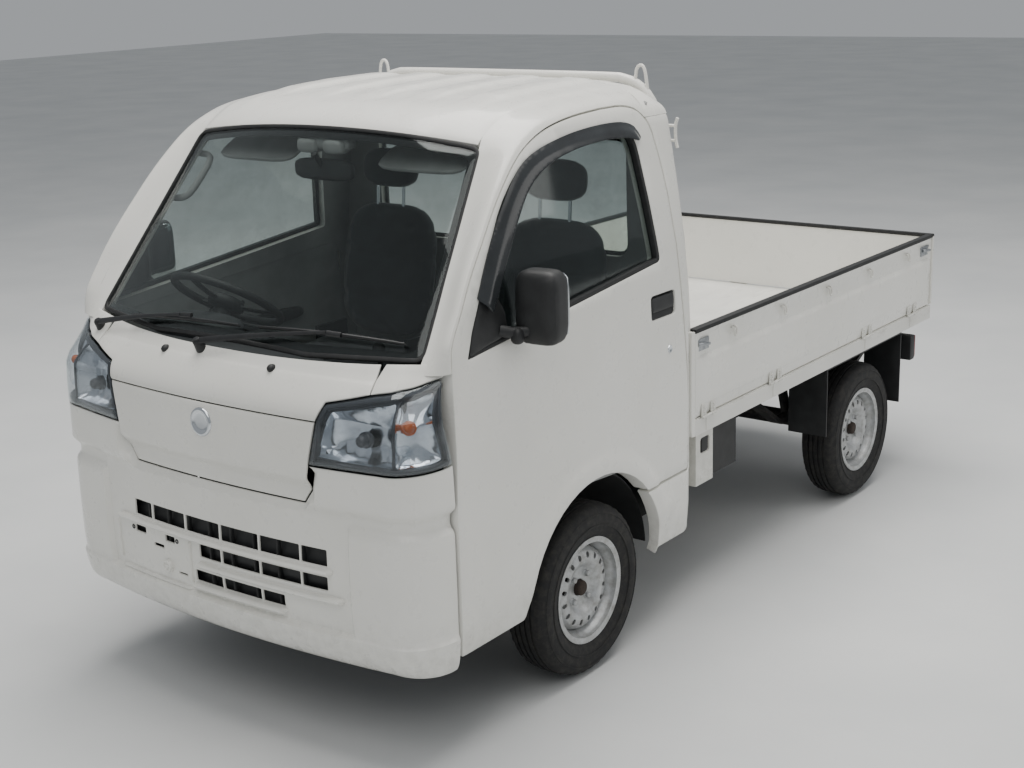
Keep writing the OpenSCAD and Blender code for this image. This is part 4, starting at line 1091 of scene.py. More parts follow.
for hand, mirror in HANDS:
    lens = pressed(f"{hand}_headlamp_lens", nose_skin, shrunk(lamp_loop, 1), lens_clear, thick=2.2,
        roll=3, grid=26, mirror=mirror, slot="lamp_lens", relief=lambda u, w: 2 + 0 * u)
    pressed(f"{hand}_headlamp_frame", behind(nose_skin, 2), shrunk(lamp_loop, 2), frame_grey,
        [lamp_frame_inner], thick=26, roll=3, grid=30, step=8, mirror=mirror, slot="lamp_lens")
    pressed(f"{hand}_headlamp_bezel", behind(nose_skin, 16), shrunk(lamp_loop, 4), frame_grey,
        [main_part, turn_part], thick=3, roll=2, grid=26, step=8, mirror=mirror, slot="lamp_lens")
    pressed(f"{hand}_main_reflector", behind(nose_skin, 17), shrunk(main_part, -2), reflector_film,
        thick=2, roll=0.6, grid=11, step=8, relief=bowl(shrunk(main_part, -2), 50, 1.2),
        mirror=mirror, slot="lamp_lens")
    pressed(f"{hand}_indicator_reflector", behind(nose_skin, 17), shrunk(turn_part, -2),
        reflector_film, thick=2, roll=0.6, grid=11, step=8,
        relief=bowl(shrunk(turn_part, -2), 34, 0.8), mirror=mirror, slot="lamp_lens")
    for part, place, radius, skins in (("main_bulb_cap", (arc_at(545), 925), 17, frame_grey),
            ("indicator_bulb", (arc_at(690), 985), 15, amber_glass),
            ("side_bulb", (arc_at(682), 905), 12, lens_clear)):
        at, out = skin_frame(nose_skin, *place)
        profile = [(0, 0), (radius * 0.5, -1.5), (radius * 0.85, -7), (radius, -15), (radius, -26),
            (radius * 1.3, -30), (radius * 1.3, -40)]
        piece(f"{hand}_{part}", *lathe([(r, h - 12) for r, h in profile], at, out, 26), skins,
            slot="lamp_lens", mirror=mirror)
    if not mirror:
        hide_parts("headlights")

# Wipers: pressed-steel arms with a black baked coat, on capped pivots, each
# carrying a framed blade with a rubber edge along the foot of the glass.
arm_paint = finish("black_baked_arm_coat", (22, 5), ((0.3, "131415"), (0.75, "202123")),
    roughness=0.42)


def swept(path, radius, sides=10, flat=1.0, up=(0, 0, 1), ends=True):
    """Tube along a path; radius may be a list; flat squeezes it along up."""
    path = np.asarray(path, float)
    radius = np.broadcast_to(np.asarray(radius, float), (len(path),))
    run = unit(np.gradient(path, axis=0))
    up = np.array(up, float)
    side = unit(np.cross(run, up))
    top = np.cross(side, run)
    points = []
    for p, r, s, t in zip(path, radius, side, top):
        for k in range(sides):
            a = 2 * math.pi * k / sides
            points.append(p + s * r * math.cos(a) + t * r * flat * math.sin(a))
    faces = []
    for i in range(len(path) - 1):
        for k in range(sides):
            j = (k + 1) % sides
            faces.append([i * sides + k, i * sides + j, (i + 1) * sides + j, (i + 1) * sides + k])
    if ends:
        faces.append(list(range(sides))[::-1])
        faces.append([(len(path) - 1) * sides + k for k in range(sides)])
    return np.array(points), flipped(faces)


def together(*parts):
    """Several (points, faces) as one mesh."""
    points, faces, base = [], [], 0
    for p, f in parts:
        points.append(p)
        faces += [[v + base for v in face] for face in f]
        base += len(p)
    return np.concatenate(points), faces


normal_ws = np.array([0, -0.777, 0.629])
wiper_parts = []
for pivot, elbow, ends in (((-585, 34), (-190, 62), ((-420, 50), (52, 60))),
        ((-70, 8), (356, 86), ((122, 66), (588, 108)))):
    start = windscreen(np.array([pivot[0]]), np.array([pivot[1]]), -4)[0] + np.array([0, -18, -16])
    wiper_parts.append(lathe([(0, 26), (9, 25), (13, 20), (14, 8), (15, 0), (17, -14)], start,
        (0, -0.5, 0.86), 20))
    top = start + np.array([0, -9, 15])
    far = windscreen(np.array([elbow[0]]), np.array([elbow[1]]), -24)[0]
    n = 12
    arm = np.array([top + (far - top) * k / (n - 1) + normal_ws * 7 *
        math.sin(math.pi * k / (n - 1)) for k in range(n)])
    wiper_parts.append(swept(arm, np.linspace(11, 5, n), 8, 0.45, normal_ws))
    for lift, size, squeeze in ((-15, 5.5, 0.9), (-8, 2.2, 1.6), (-3.6, 1.6, 2.2)):
        line = np.linspace(0, 1, 22)
        xs = ends[0][0] + (ends[1][0] - ends[0][0]) * line
        ss = ends[0][1] + (ends[1][1] - ends[0][1]) * line
        thin = size * (0.55 + 0.45 * np.sin(math.pi * line))
        wiper_parts.append(swept(windscreen(xs, ss, 0) - 0 + normal_ws * -lift, thin, 8, squeeze,
            normal_ws))
    clip = windscreen(np.array([elbow[0], elbow[0] + 46]), np.array([elbow[1], elbow[1] + 3]), -19)
    wiper_parts.append(swept(clip, 8, 8, 0.7, normal_ws))
wipers = piece("windscreen_wipers", *together(*wiper_parts), arm_paint, slot="black_plastic")
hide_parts("wipers")

# Washer jets: two black moulded nozzles on the scuttle panel.
for k, x in enumerate((-217, 217)):
    at, out = skin_frame(nose_skin, float(arc_at(x)), nose_at(x, 1074)[1])
    points, faces = lathe([(0, 9), (5, 8.5), (9, 6), (11.5, 1), (12, -1)], at, out, 20)
    points = at + (points - at) * (1, 1.25, 1)
    piece(f"washer_jet_{k}", points, faces, black_moulding, slot="black_plastic")

# Door mirrors: grained black shells on a folding arm; the foot fills the
# front corner of the window. The right one is folded against the door.
mirror_glass, tree, skin = material("silvered_mirror_glass", metallic=1.0)
feed(tree, skin, roughness=levels(tree, grain(tree, 120, 3), 0.02, 0.05))
skin.inputs["Base Color"].default_value = linear("C8CCCE")
FOOT = rounded([(-556, 1122, 6), (-392, 1152, 10), (-392, 1215, 14), (-450, 1322, 14),
    (-535, 1184, 8)], 8, 3)


def shell(centre, half, power=4.0, lat=22, lon=36, turn=0.0):
    """Rounded box: superellipsoid with half sizes, turned about the upright."""
    points, faces = [], []
    for i in range(lat + 1):
        v = -math.pi / 2 + math.pi * i / lat
        for j in range(lon):
            u = 2 * math.pi * j / lon
            raw = np.array([math.cos(v) * math.cos(u), math.cos(v) * math.sin(u), math.sin(v)])
            size = (np.abs(raw) ** power).sum() ** (-1 / power)
            p = raw * size * np.array(half, float)
            c, s = math.cos(turn), math.sin(turn)
            points.append(np.array([p[0] * c - p[1] * s, p[0] * s + p[1] * c, p[2]]) + centre)
    for i in range(lat):
        for j in range(lon):
            k = (j + 1) % lon
            faces.append([i * lon + j, i * lon + k, (i + 1) * lon + k, (i + 1) * lon + j])
    return np.array(points), faces


for hand, mirror in HANDS:
    foot = pressed(f"{hand}_mirror_foot", behind(side_skin, -1), FOOT, black_moulding, thick=12,
        roll=6, grid=14, mirror=mirror, body=f"{hand}_door", slot="black_plastic",
        relief=lambda y, z: 5 * fade(-np.hypot(y + 425, z - 1172), -70, -20))
    centre, half, turn = (((802, -330, 1222), (66, 42, 101), 0.10),
        ((795, -290, 1222), (30, 62, 101), 0.06))[mirror]
    body_shell = shell(np.array(centre, float), half, 5.0, turn=turn)
    arm = swept([(727, -420, 1166), (752, -400, 1160), (778, -370, 1160), (790, -340, 1175)],
        [17, 15, 14, 15], 14)
    cap = shell(np.array((766, -392, 1150), float), (17, 17, 22), 3.0, 12, 20)
    housing = piece(f"{hand}_mirror_housing", *together(body_shell, arm, cap), black_moulding,
        body=f"{hand}_door", slot="black_plastic", mirror=mirror)
    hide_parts(f"{hand}_mirror")
    if mirror:
        face = shell(np.array((795 - 27, -290, 1222), float), (5, 52, 90), 6.0, 14, 28, 0.06)
    else:
        face = shell(np.array((803, -330 + 39, 1222), float), (57, 5, 91), 6.0, 14, 28, 0.10)
    piece(f"{hand}_mirror_glass", *face, mirror_glass, body=f"{hand}_door", slot="glass",
        mirror=mirror)

# Rain visors: smoked acrylic strips over the door windows, bowed outwards
# and taped to the frame along their upper edge.
smoked_acrylic = finish("smoked_acrylic", (90, 4), ((0.3, "26282A"), (0.7, "303335")),
    roughness=0.16, ior=1.49)
VISOR_TOP = drawn([(-503, 1266), (-424, 1386), (-340, 1486), (-246, 1568), (-150, 1608), (0, 1633),
    (150, 1643), (276, 1640), (340, 1622), (372, 1584)], 20)
VISOR_EDGE = drawn([(334, 1578), (280, 1592), (150, 1598), (0, 1588), (-130, 1562), (-230, 1512),
    (-308, 1430), (-384, 1330), (-460, 1222)], 20)
VISOR = rounded([VISOR_TOP[0] + (8,)] + [p + (0,) for p in VISOR_TOP[1:-1]] +
    [VISOR_TOP[-1] + (8,)] + [VISOR_EDGE[0] + (8,)] + [p + (0,)
    for p in VISOR_EDGE[1:-1]] + [VISOR_EDGE[-1] + (8,)], 6, 3)


def visor_bow(y, z):
    """Stands off the frame along its taped upper edge, then bows out."""
    away = gap_to(np.stack([y, z], 1), [np.array(VISOR_TOP + VISOR_TOP[-2:0:-1])])
    return 4 + 14 * fade(away, 0, 36)


for hand, mirror in HANDS:
    visor = pressed(f"{hand}_rain_visor", side_skin, VISOR, smoked_acrylic, thick=2.5, roll=1,
        grid=9, step=6, relief=visor_bow, mirror=mirror, body=f"{hand}_door",
        slot="smoked_plastic")
    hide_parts(f"{hand}_visor")

# Load bed: the floor is one pressed sheet with lengthwise beads on cross
# sills, in body enamel, scuffed by loads so that grey steel shows through.
BED_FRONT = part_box("bed_headboard")[1][1] * 1000 - FRONT_AXLE
BED_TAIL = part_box("tailgate")[0][1] * 1000 - FRONT_AXLE
BED_Z = round(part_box("left_gate")[0][2] * 1000 + 4)
GATE_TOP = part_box("left_gate")[1][2] * 1000
GATE_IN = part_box("left_gate")[0][0] * 1000
bed_enamel, tree, skin = material("scuffed_bed_enamel", roughness=0.45)
wear = levels(tree, grain(tree, 120, 8, 0.75, (1, 0.25, 1)).outputs[0], 0, 1, 0.57, 0.74)
worn = put(tree, "Mix", data_type="RGBA")
tree.links.new(wear.outputs[0], worn.inputs["Factor"])
tree.links.new(shades(tree, grain(tree, 300, 4), (0.35, "DAD9D3"), (0.65, "E3E2DC")).outputs[0],
    worn.inputs["A"])
worn.inputs["B"].default_value = linear("B4B2AA")
feed(tree, skin, base_color=worn.outputs["Result"], roughness=levels(tree, wear, 0.36, 0.6),
    normal=bump(tree, grain(tree, 9, 4), 0.25, 0.4))


def flat_floor(z):
    return lambda x, y: np.stack([np.asarray(x, float), np.asarray(y, float),
        np.full(np.shape(x), float(z))], -1)


floor_w, y0, y1 = GATE_IN - 3, BED_FRONT + 0.5, BED_TAIL - 1
RIBS = [i * 150 for i in range(-4, 5)]


def floor_beads(x, y):
    lift = sum(np.asarray(5.0 * (1 - fade(np.abs(x - c), 16, 27))) for c in RIBS)
    return lift * fade(y, y0 + 30, y0 + 52) * fade(-y, -y1 + 22, -y1 + 44)


pressed("bed_floor_sheet", flat_floor(BED_Z + 1), [(-floor_w, y0), (floor_w, y0), (floor_w, y1),
    (-floor_w, y1)], bed_enamel, thick=3, roll=1, grid=60, relief=floor_beads,
    extra=[[(c + d, y) for c in RIBS for d in (-28, -24, -20, -15, 15, 20, 24, 28)
    for y in np.arange(y0 + 20, y1, 45)], [(x, y) for x in np.arange(-680, 681, 20)
    for y in (y0 + 30, y0 + 40, y0 + 52, y1 - 44, y1 - 32, y1 - 22)]])

# Gates: double-skinned pressings with folded ribs, hinged along the bed's
# edges. A rubber strip caps the top, and five rope hooks sit in a channel.


def gate_skin(y, z):
    """Outer face of the left gate."""
    return np.stack([np.full(np.shape(y), GATE_IN + 23), np.asarray(y, float),
        np.asarray(z, float)], -1)


def gate_relief(y, z):
    lower = 3.0 * (fade(z, BED_Z + 36, BED_Z + 44) * (1 - fade(z, GATE_TOP - 112, GATE_TOP - 100)))
    band = -9.0 * fade(z, GATE_TOP - 102, GATE_TOP - 88) * (1 - fade(z, GATE_TOP - 26,
        GATE_TOP - 14))
    foot = -3.0 * (1 - fade(z, BED_Z + 8, BED_Z + 20))
    ends = fade(y, BED_FRONT + 14, BED_FRONT + 30) * fade(-y, -(BED_TAIL - 14), -(BED_TAIL - 30))
    return (lower + band + foot) * ends


gate_y = (BED_FRONT + 5, BED_TAIL - 6)
gate_z = (BED_Z + 5, GATE_TOP)
gate_loop = [(gate_y[0], gate_z[0]), (gate_y[1], gate_z[0]), (gate_y[1], gate_z[1]),
    (gate_y[0], gate_z[1])]
gate_rows = [(y, z) for z in (BED_Z + 10, BED_Z + 15, BED_Z + 20, BED_Z + 36, BED_Z + 40,
    BED_Z + 44, GATE_TOP - 112, GATE_TOP - 106, GATE_TOP - 101, GATE_TOP - 96, GATE_TOP - 90,
    GATE_TOP - 27, GATE_TOP - 20, GATE_TOP - 13) for y in np.arange(gate_y[0] + 8, gate_y[1] - 4,
    40)]
HOOKS = [BED_FRONT + 260 + i * (BED_TAIL - BED_FRONT - 500) / 4 for i in range(5)]
HINGES = [BED_FRONT + 5 + f * (BED_TAIL - BED_FRONT - 12) for f in (0.042, 0.285, 0.68, 0.905)]
PIN_X = GATE_IN + 26 + 2.5

# Gate hardware: zinc-plated steel pressings under the body paint.
painted_steel = enamel("painted_steel_fittings", "DAD9D2", "D0CFC8", "6F6A60", 0.75)
zinc_plate, tree, skin = material("zinc_plated_steel", metallic=1.0)
feed(tree, skin, base_color=shades(tree, grain(tree, 14, 5), (0.3, "8E9296"), (0.7, "B2B5B8")),
    roughness=levels(tree, grain(tree, 9, 4), 0.3, 0.5))


def block(x0, x1, y0_, y1_, z0, z1, soft_edge=2.0):
    """Box with chamfered edges as points and faces."""
    bm = bmesh.new()
    bmesh.ops.create_cube(bm, size=1.0)
    for v in bm.verts:
        v.co = Vector(((x0 + x1) / 2 + v.co.x * (x1 - x0), (y0_ + y1_) / 2 + v.co.y * (y1_ - y0_),
            (z0 + z1) / 2 + v.co.z * (z1 - z0)))
    cut = min(soft_edge, (x1 - x0) / 3, (y1_ - y0_) / 3, (z1 - z0) / 3)
    bmesh.ops.bevel(bm, geom=list(bm.edges), offset=cut, segments=2, profile=0.6, affect="EDGES")
    points = np.array([tuple(v.co) for v in bm.verts])
    faces = [[v.index for v in f.verts] for f in bm.faces]
    bm.free()
    return points, faces


for hand, mirror in HANDS:
    gate = pressed(f"{hand}_gate_skin", gate_skin, gate_loop, body_enamel, thick=22, roll=3,
        grid=60, step=24, relief=gate_relief, extra=[gate_rows], mirror=mirror,
        body=f"{hand}_gate")
    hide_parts(f"{hand}_gate")
    piece(f"{hand}_gate_rubber", *block(GATE_IN - 2, GATE_IN + 26, *gate_y, GATE_TOP - 9,
        GATE_TOP + 7, 6), rubber_seal, body=f"{hand}_gate", slot="black_plastic", mirror=mirror)
    fittings = []
    for y in HOOKS:
        z = GATE_TOP - 52
        path = [(GATE_IN + 15, y + 9, z + 14), (GATE_IN + 26, y + 9, z + 12),
            (GATE_IN + 28, y + 5, z - 12), (GATE_IN + 28, y - 5, z - 12),
            (GATE_IN + 26, y - 9, z + 12), (GATE_IN + 15, y - 9, z + 14)]
        fittings.append(swept(drawn(path, 5), 3.6, 8, 1.0, (1, 0.1, 0.1)))
    for y in HINGES:
        for s in (-1, 1):
            fittings.append(block(GATE_IN + 23, GATE_IN + 27.5, y + s * 29.5 - 15,
                y + s * 29.5 + 15, BED_Z + 2, BED_Z + 44, 1.5))
            fittings.append(lathe([(2.6, -14), (4.8, -14), (4.8, 14), (2.6, 14)],
                (PIN_X, y + s * 29.5, BED_Z - 1), (0, 1, 0), 18, True))
            for dz in (16, 32):
                fittings.append(lathe([(0, 4), (4, 3.6), (5.5, 2), (5.5, -1)],
                    (GATE_IN + 27.5, y + s * 29.5, BED_Z + dz), (1, 0, 0), 6))
    piece(f"{hand}_gate_fittings", *together(*fittings), painted_steel, body=f"{hand}_gate",
        mirror=mirror)
    latch = []
    for y in (BED_FRONT + 16, BED_TAIL - 98):
        latch.append(block(GATE_IN + 12, GATE_IN + 19, y, y + 84, GATE_TOP - 74, GATE_TOP - 34, 3))
        lever = [(GATE_IN + 20, y + 12, GATE_TOP - 50), (GATE_IN + 25, y + 30, GATE_TOP - 50),
            (GATE_IN + 27, y + 74, GATE_TOP - 56)]
        latch.append(swept(drawn(lever, 8), np.linspace(7, 5, len(drawn(lever, 8))), 10, 0.8,
            (1, 0, 0)))
    piece(f"{hand}_gate_latches", *together(*latch), zinc_plate, body=f"{hand}_gate",
        mirror=mirror)

# Tailgate: the same pressing across the rear, with its own rubber strip.
TAIL_X = GATE_IN + 26
TAIL_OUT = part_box("tailgate")[1][1] * 1000 - FRONT_AXLE


def tail_skin(x, z):
    return np.stack([np.asarray(x, float), np.full(np.shape(x), BED_TAIL + 18.0),
        np.asarray(z, float)], -1)


def tail_relief(x, z):
    ends = 1 - fade(np.abs(x), TAIL_X - 60, TAIL_X - 40)
    dish = sum(np.asarray(fade(z, BED_Z + a, BED_Z + a + 12) * (1 - fade(z, BED_Z + b - 12,
        BED_Z + b))) for a, b in ((44, 128), (164, 248)))
    return -4.5 * dish * ends


tail_loop = [(-TAIL_X, BED_Z + 5), (TAIL_X, BED_Z + 5), (TAIL_X, GATE_TOP), (-TAIL_X, GATE_TOP)]
tail = pressed("tailgate_skin", tail_skin, tail_loop, body_enamel, thick=16, roll=3, grid=60,
    step=24, relief=tail_relief, turn=True, body="tailgate",
    extra=[[(x, BED_Z + d) for d in (44, 50, 56, 116, 122, 128, 164, 170, 176, 236, 242, 248)
    for x in np.arange(-720, 721, 36)]])
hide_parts("tailgate")
piece("tailgate_rubber", *block(-TAIL_X, TAIL_X, BED_TAIL - 2, BED_TAIL + 20, GATE_TOP - 9,
    GATE_TOP + 7, 6), rubber_seal, body="tailgate", slot="black_plastic")
tail_fit = []
PIN_Y = TAIL_OUT - 4
for x in (-560, -190, 190, 560):
    for s in (-1, 1):
        tail_fit.append(block(x + s * 29.5 - 15, x + s * 29.5 + 15, BED_TAIL + 17, BED_TAIL + 21,
            BED_Z + 2, BED_Z + 42, 1.5))
        tail_fit.append(lathe([(2.6, -14), (4.4, -14), (4.4, 14), (2.6, 14)],
            (x + s * 29.5, PIN_Y, BED_Z - 1), (1, 0, 0), 18, True))
piece("tailgate_fittings", *together(*tail_fit), painted_steel, body="tailgate")

# Front wall of the bed with its rolled top and the tubular guard over the
# back of the cab, which ends in two rope loops and two side hooks.
def wall_skin(x, z):
    return np.stack([np.asarray(x, float), np.full(np.shape(x), BED_FRONT - 21.0),
        np.asarray(z, float)], -1)


wall_half = GATE_IN + 25
wall_loop = [(-wall_half, BED_Z - 54), (wall_half, BED_Z - 54), (wall_half, GATE_TOP),
    (-wall_half, GATE_TOP)]
head = pressed("bed_front_wall", wall_skin, wall_loop, body_enamel, thick=20, roll=5, grid=60,
    step=24, relief=lambda x, z: -5.0 * sum(np.asarray(1 - fade(np.abs(z - BED_Z - c), 18, 30))
    for c in (80, 180)) * (1 - fade(np.abs(x), 600, 630)),
    extra=[[(x, BED_Z + c + d) for c in (80, 180) for d in (-30, -24, -18, 18, 24, 30)
    for x in np.arange(-700, 701, 36)]])
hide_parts("bed_headboard")
guard_line = [(696, GATE_TOP - 12), (696, 960), (690, 1090), (680, 1190), (664, 1300), (645, 1410),
    (625, 1510), (606, 1590), (585, 1650), (556, 1694), (520, 1722), (470, 1738), (400, 1742),
    (0, 1743)]
half = drawn(guard_line, 26)
guard_path = [(x, BED_FRONT - 3, z) for x, z in half] + [(-x, BED_FRONT - 3, z)
    for x, z in half[-2::-1]]
guard_parts = [swept(guard_path, 15.5, 14, 1.0, (0, 1, 0))]
for s in (-1, 1):
    loop = drawn([(s * 514, 1728), (s * 520, 1768), (s * 532, 1780), (s * 544, 1776),
        (s * 552, 1756), (s * 560, 1704)], 6)
    guard_parts.append(swept([(x, BED_FRONT - 3, z) for x, z in loop], 5.2, 10, 1.0, (0, 1, 0)))
    for z in (1552, 1598):
        guard_parts.append(swept([(s * 612, BED_FRONT - 3, z), (s * 662, BED_FRONT - 3, z)], 4.6,
            10, 1.0, (0, 0, 1)))
    hook = drawn([(s * 668, 1530), (s * 662, 1552), (s * 661, 1598), (s * 668, 1622)], 8)
    guard_parts.append(swept([(x, BED_FRONT - 3, z) for x, z in hook], 5.2, 10, 1.0, (0, 1, 0)))
guard = piece("cab_guard", *together(*guard_parts), body_enamel)
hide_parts("roof_guard")

# Tail lamps: red, amber and clear acrylic in one body on each bracket.
red_acrylic, tree, skin = material("red_acrylic_lens", roughness=0.14, ior=1.49)
feed(tree, skin, base_color=shades(tree, grain(tree, 16, 3), (0.3, "7C0F12"), (0.7, "99181A")))
flutes = put(tree, "TexWave", {"vector": put(tree, "TexCoord").outputs["Object"]}, scale=40.0,
    bands_direction="Z")
feed(tree, skin, normal=bump(tree, flutes.outputs["Fac"], 0.6, 0.6))
lo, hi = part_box("tail_lamps")
lamp_y1 = BED_TAIL - 80
for hand, mirror in HANDS:
    box_part = block(550, 712, lamp_y1 - 60, lamp_y1 - 14, 440, 545, 8)
    stem = block(572, 598, lamp_y1 - 30, lamp_y1 + 12, 500, BED_Z - 100, 3)
    box_piece = piece(f"{hand}_tail_lamp_body", *together(box_part, stem), black_moulding,
        slot="black_plastic", mirror=mirror)
    if not mirror:
        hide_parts("tail_lamps")
    for part, a, b, skins in (("stop_lens", 612, 708, red_acrylic),
            ("indicator_lens", 580, 610, amber_glass), ("reversing_lens", 554, 578, frame_grey)):
        piece(f"{hand}_{part}", *block(a, b, lamp_y1 - 15, lamp_y1, 446, 539, 5), skins,
            slot="red_lens", mirror=mirror)

# Tyres: 145/80 R12 light-truck radials in carbon-black rubber, with a ribbed
# block tread and moulded bands on the sidewall, dull and dusty.
tyre_rubber, tree, skin = material("vulcanised_tyre_rubber", roughness=0.8)
dust = levels(tree, grain(tree, 24, 6, 0.7), 0, 1, 0.45, 0.75)
feed(tree, skin, base_color=shades(tree, dust, (0.0, "1A1A1B"), (1.0, "35332F")),
    normal=bump(tree, grain(tree, 2, 3), 0.3, 0.5))
HALF_TYRE = 72.5
NUTS, NUT_CIRCLE, VENTS, VENT_CIRCLE = 4, 50.0, 16, 106.0

# Steel wheel: pressed and welded, sprayed silver, with road film in the vents.
wheel_silver, tree, skin = material("silver_wheel_lacquer", metallic=0.55, roughness=0.42)
film = levels(tree, grain(tree, 30, 6, 0.7), 0, 1, 0.4, 0.8)
feed(tree, skin, base_color=shades(tree, film, (0.0, "B9BBBC"), (1.0, "85837D")),
    normal=bump(tree, grain(tree, 6, 4), 0.2, 0.4))


def tyre_mesh():
    """Tyre round the X axis, outer side towards +X, centre at the origin."""
    across = [(-57, 153), (-58.5, 168), (-66, 184), (-71, 205), (-72.5, 224), (-70.5, 240),
        (-64, 252), (-57, 259.5), (-50, 263.5)]
    groove_centres, half_groove, deep = (-30, -10, 10, 30), 3.2, 6.5
    tread = []
    for c in groove_centres:
        tread += [(c - half_groove - 0.6, 0), (c - half_groove, -deep), (c + half_groove, -deep),
            (c + half_groove + 0.6, 0)]

    def crown(x):
        return 267.6 - 2.6 * (abs(x) / 50) ** 2.2

    tread = [(x, crown(x) + d) for x, d in tread]
    right_side = [(-x, r) for x, r in across[::-1]]
    inner = [(46, 153), (44, 175), (58, 205), (60, 228), (52, 246), (0, 254), (-52, 246),
        (-60, 228), (-58, 205), (-44, 175), (-46, 153)]
    profile = across + tread + right_side + inner
    n, count = len(profile), 96
    first_tread, last_tread = len(across), len(across) + len(tread)
    points = []
    for k in range(count):
        a = 2 * math.pi * k / count
        notch = k % 2
        for i, (x, r) in enumerate(profile):
            if first_tread - 3 <= i < first_tread + 2 or last_tread - 2 <= i < last_tread + 3:
                r = r - (2.6 if notch else 0)
            if first_tread <= i < last_tread and not notch:
                r = r - (0.9 if (i - first_tread) % 4 in (0, 3) else 0)
            twist = 0.012 * math.sin(x / 9.0)
            points.append((x, r * math.cos(a + twist), r * math.sin(a + twist)))
    faces = []
    for k in range(count):
        m = (k + 1) % count
        for i in range(n):
            j = (i + 1) % n
            faces.append([k * n + i, k * n + j, m * n + j, m * n + i])
    bands = [lathe([(200, 71.2), (201.5, 73.2), (204, 73.4), (206, 71.8)], (0, 0, 0), (1, 0, 0),
        72), lathe([(236, 70.6), (237.5, 72.6), (240, 72.2), (242, 69.4)], (0, 0, 0), (1, 0, 0),
        72)]
    return together((np.array(points), flipped(faces)), *bands)


def rim_mesh():
    """Rim and disc round the X axis, outer side towards +X."""
    barrel = [(166, 61.5), (166.4, 59.5), (164, 58), (157, 57.4), (152.4, 56), (151.6, 44),
        (148, 36), (136, 20), (135, -22), (149, -40), (152, -57), (164, -58.5), (166, -61),
        (163, -61.5), (149, -59), (146, -42), (131.5, -24), (131.5, 14), (134.5, 22), (145, 38),
        (148.6, 46), (149, 58.5), (160, 60.5), (164, 61.8)]
    shell_points, shell_faces = lathe(barrel, (0, 0, 0), (1, 0, 0), 96, True)
    hub = [(26.7, 12), (26.7, 18.5), (60, 18.8), (66, 21), (76, 34.5), (86, 39), (96, 41.5)]
    outer = [(116, 37), (126, 29.5), (131.4, 18)]
    hub_points, hub_faces = lathe(hub, (0, 0, 0), (1, 0, 0), 96)
    out_points, out_faces = lathe(outer, (0, 0, 0), (1, 0, 0), 96)
    band_points, band_faces = [], []
    per = 96 // VENTS

    def height(r):
        return float(np.interp(r, [96, 106, 116], [41.5, 41.6, 37]))

    for v in range(VENTS):
        mid = 2 * math.pi * (v + 0.5) / VENTS
        edge = [(96, mid + 2 * math.pi * (s - per / 2) / 96) for s in range(per + 1)]
        edge += [(116, mid + 2 * math.pi * (per / 2 - s) / 96) for s in range(per + 1)]
        loop = np.array([(r * math.cos(t), r * math.sin(t)) for r, t in edge])
        c = np.array([VENT_CIRCLE * math.cos(mid), VENT_CIRCLE * math.sin(mid)])
        order = np.arctan2(loop[:, 1] - c[1], loop[:, 0] - c[0])
        loop = loop[np.argsort(order)]
        order = np.sort(order)
        n = len(loop)
        base_index = len(band_points)
        long, wide = 9.6, 7.6
        turn_c, turn_s = math.cos(mid), math.sin(mid)
        rings = [loop]
        for scale_r, drop in ((1.28, 0), (1.04, -0.8), (1.0, -3.4), (1.0, -8)):
            e = np.stack([long * scale_r * np.cos(order - mid),
                wide * scale_r * np.sin(order - mid)], 1)
            rings.append(np.stack([c[0] + e[:, 0] * turn_c - e[:, 1] * turn_s,
                c[1] + e[:, 0] * turn_s + e[:, 1] * turn_c], 1))
        for k, ring_points in enumerate(rings):
            drop = (0, 0, -0.8, -3.4, -8)[k]
            for p in ring_points:
                band_points.append((height(float(np.hypot(*p))) + drop, p[0], p[1]))
        for k in range(len(rings) - 1):
            for i in range(n):
                j = (i + 1) % n
                band_faces.append([base_index + k * n + i, base_index + k * n + j,
                    base_index + (k + 1) * n + j, base_index + (k + 1) * n + i])
    parts = [(shell_points, flipped(shell_faces)), (hub_points, hub_faces),
        (out_points, out_faces), (np.array(band_points), band_faces)]
    for k in range(NUTS):
        a = math.pi / 4 + 2 * math.pi * k / NUTS
        at = (0, NUT_CIRCLE * math.cos(a), NUT_CIRCLE * math.sin(a))
        parts.append(lathe([(0, 35), (5, 35), (8.6, 32.5), (9.4, 31), (9.4, 22), (12, 20),
            (13, 18)], at, (1, 0, 0), 6))
    return together(*parts)


# Wheel hardware: the hub's pressed dust cap and the bearing flange behind.
def hub_mesh():
    cap = lathe([(0, 37.5), (14, 37.2), (20, 35.5), (23.5, 31), (24.5, 16), (26.5, 14)], (0, 0, 0),
        (1, 0, 0), 40)
    flange = lathe([(27, 12), (60, 12), (60, 4), (40, 2), (36, -26), (15.1, -28), (15.1, 4)],
        (0, 0, 0), (1, 0, 0), 40)
    return together(cap, flange)


tyre_points, tyre_faces = tyre_mesh()
rim_points, rim_faces = rim_mesh()
hub_points, hub_faces = hub_mesh()
drum_steel = finish("rusted_drum_casting", (12, 6, 0.7), ((0.3, "2B2927"), (0.7, "4A3C33")),
    roughness=0.8, metallic=0.3)
for axle in ("front", "rear"):
    for hand in ("left", "right"):
        at = np.array(middle(f"{axle}_{hand}_tyre")) - (0, FRONT_AXLE, 0)
        face = 1 if hand == "left" else -1
        for part, pts, fcs, skins, node in (("tyre", tyre_points, tyre_faces, tyre_rubber, "tyre"),
                ("wheel", rim_points, rim_faces, wheel_silver, "rim"),
                ("hub", hub_points, hub_faces, drum_steel, None)):
            moved, turned = pts * (face, 1, 1) + at, (fcs if face == 1 else flipped(fcs))
            made = piece(f"{axle}_{hand}_{part}_mesh", moved, turned, skins,
                body=f"{axle}_{hand}_wheel", slot="tyre" if part == "tyre" else "wheel_paint",
                smooth=40)
            if node:
                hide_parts(f"{axle}_{hand}_{node}")

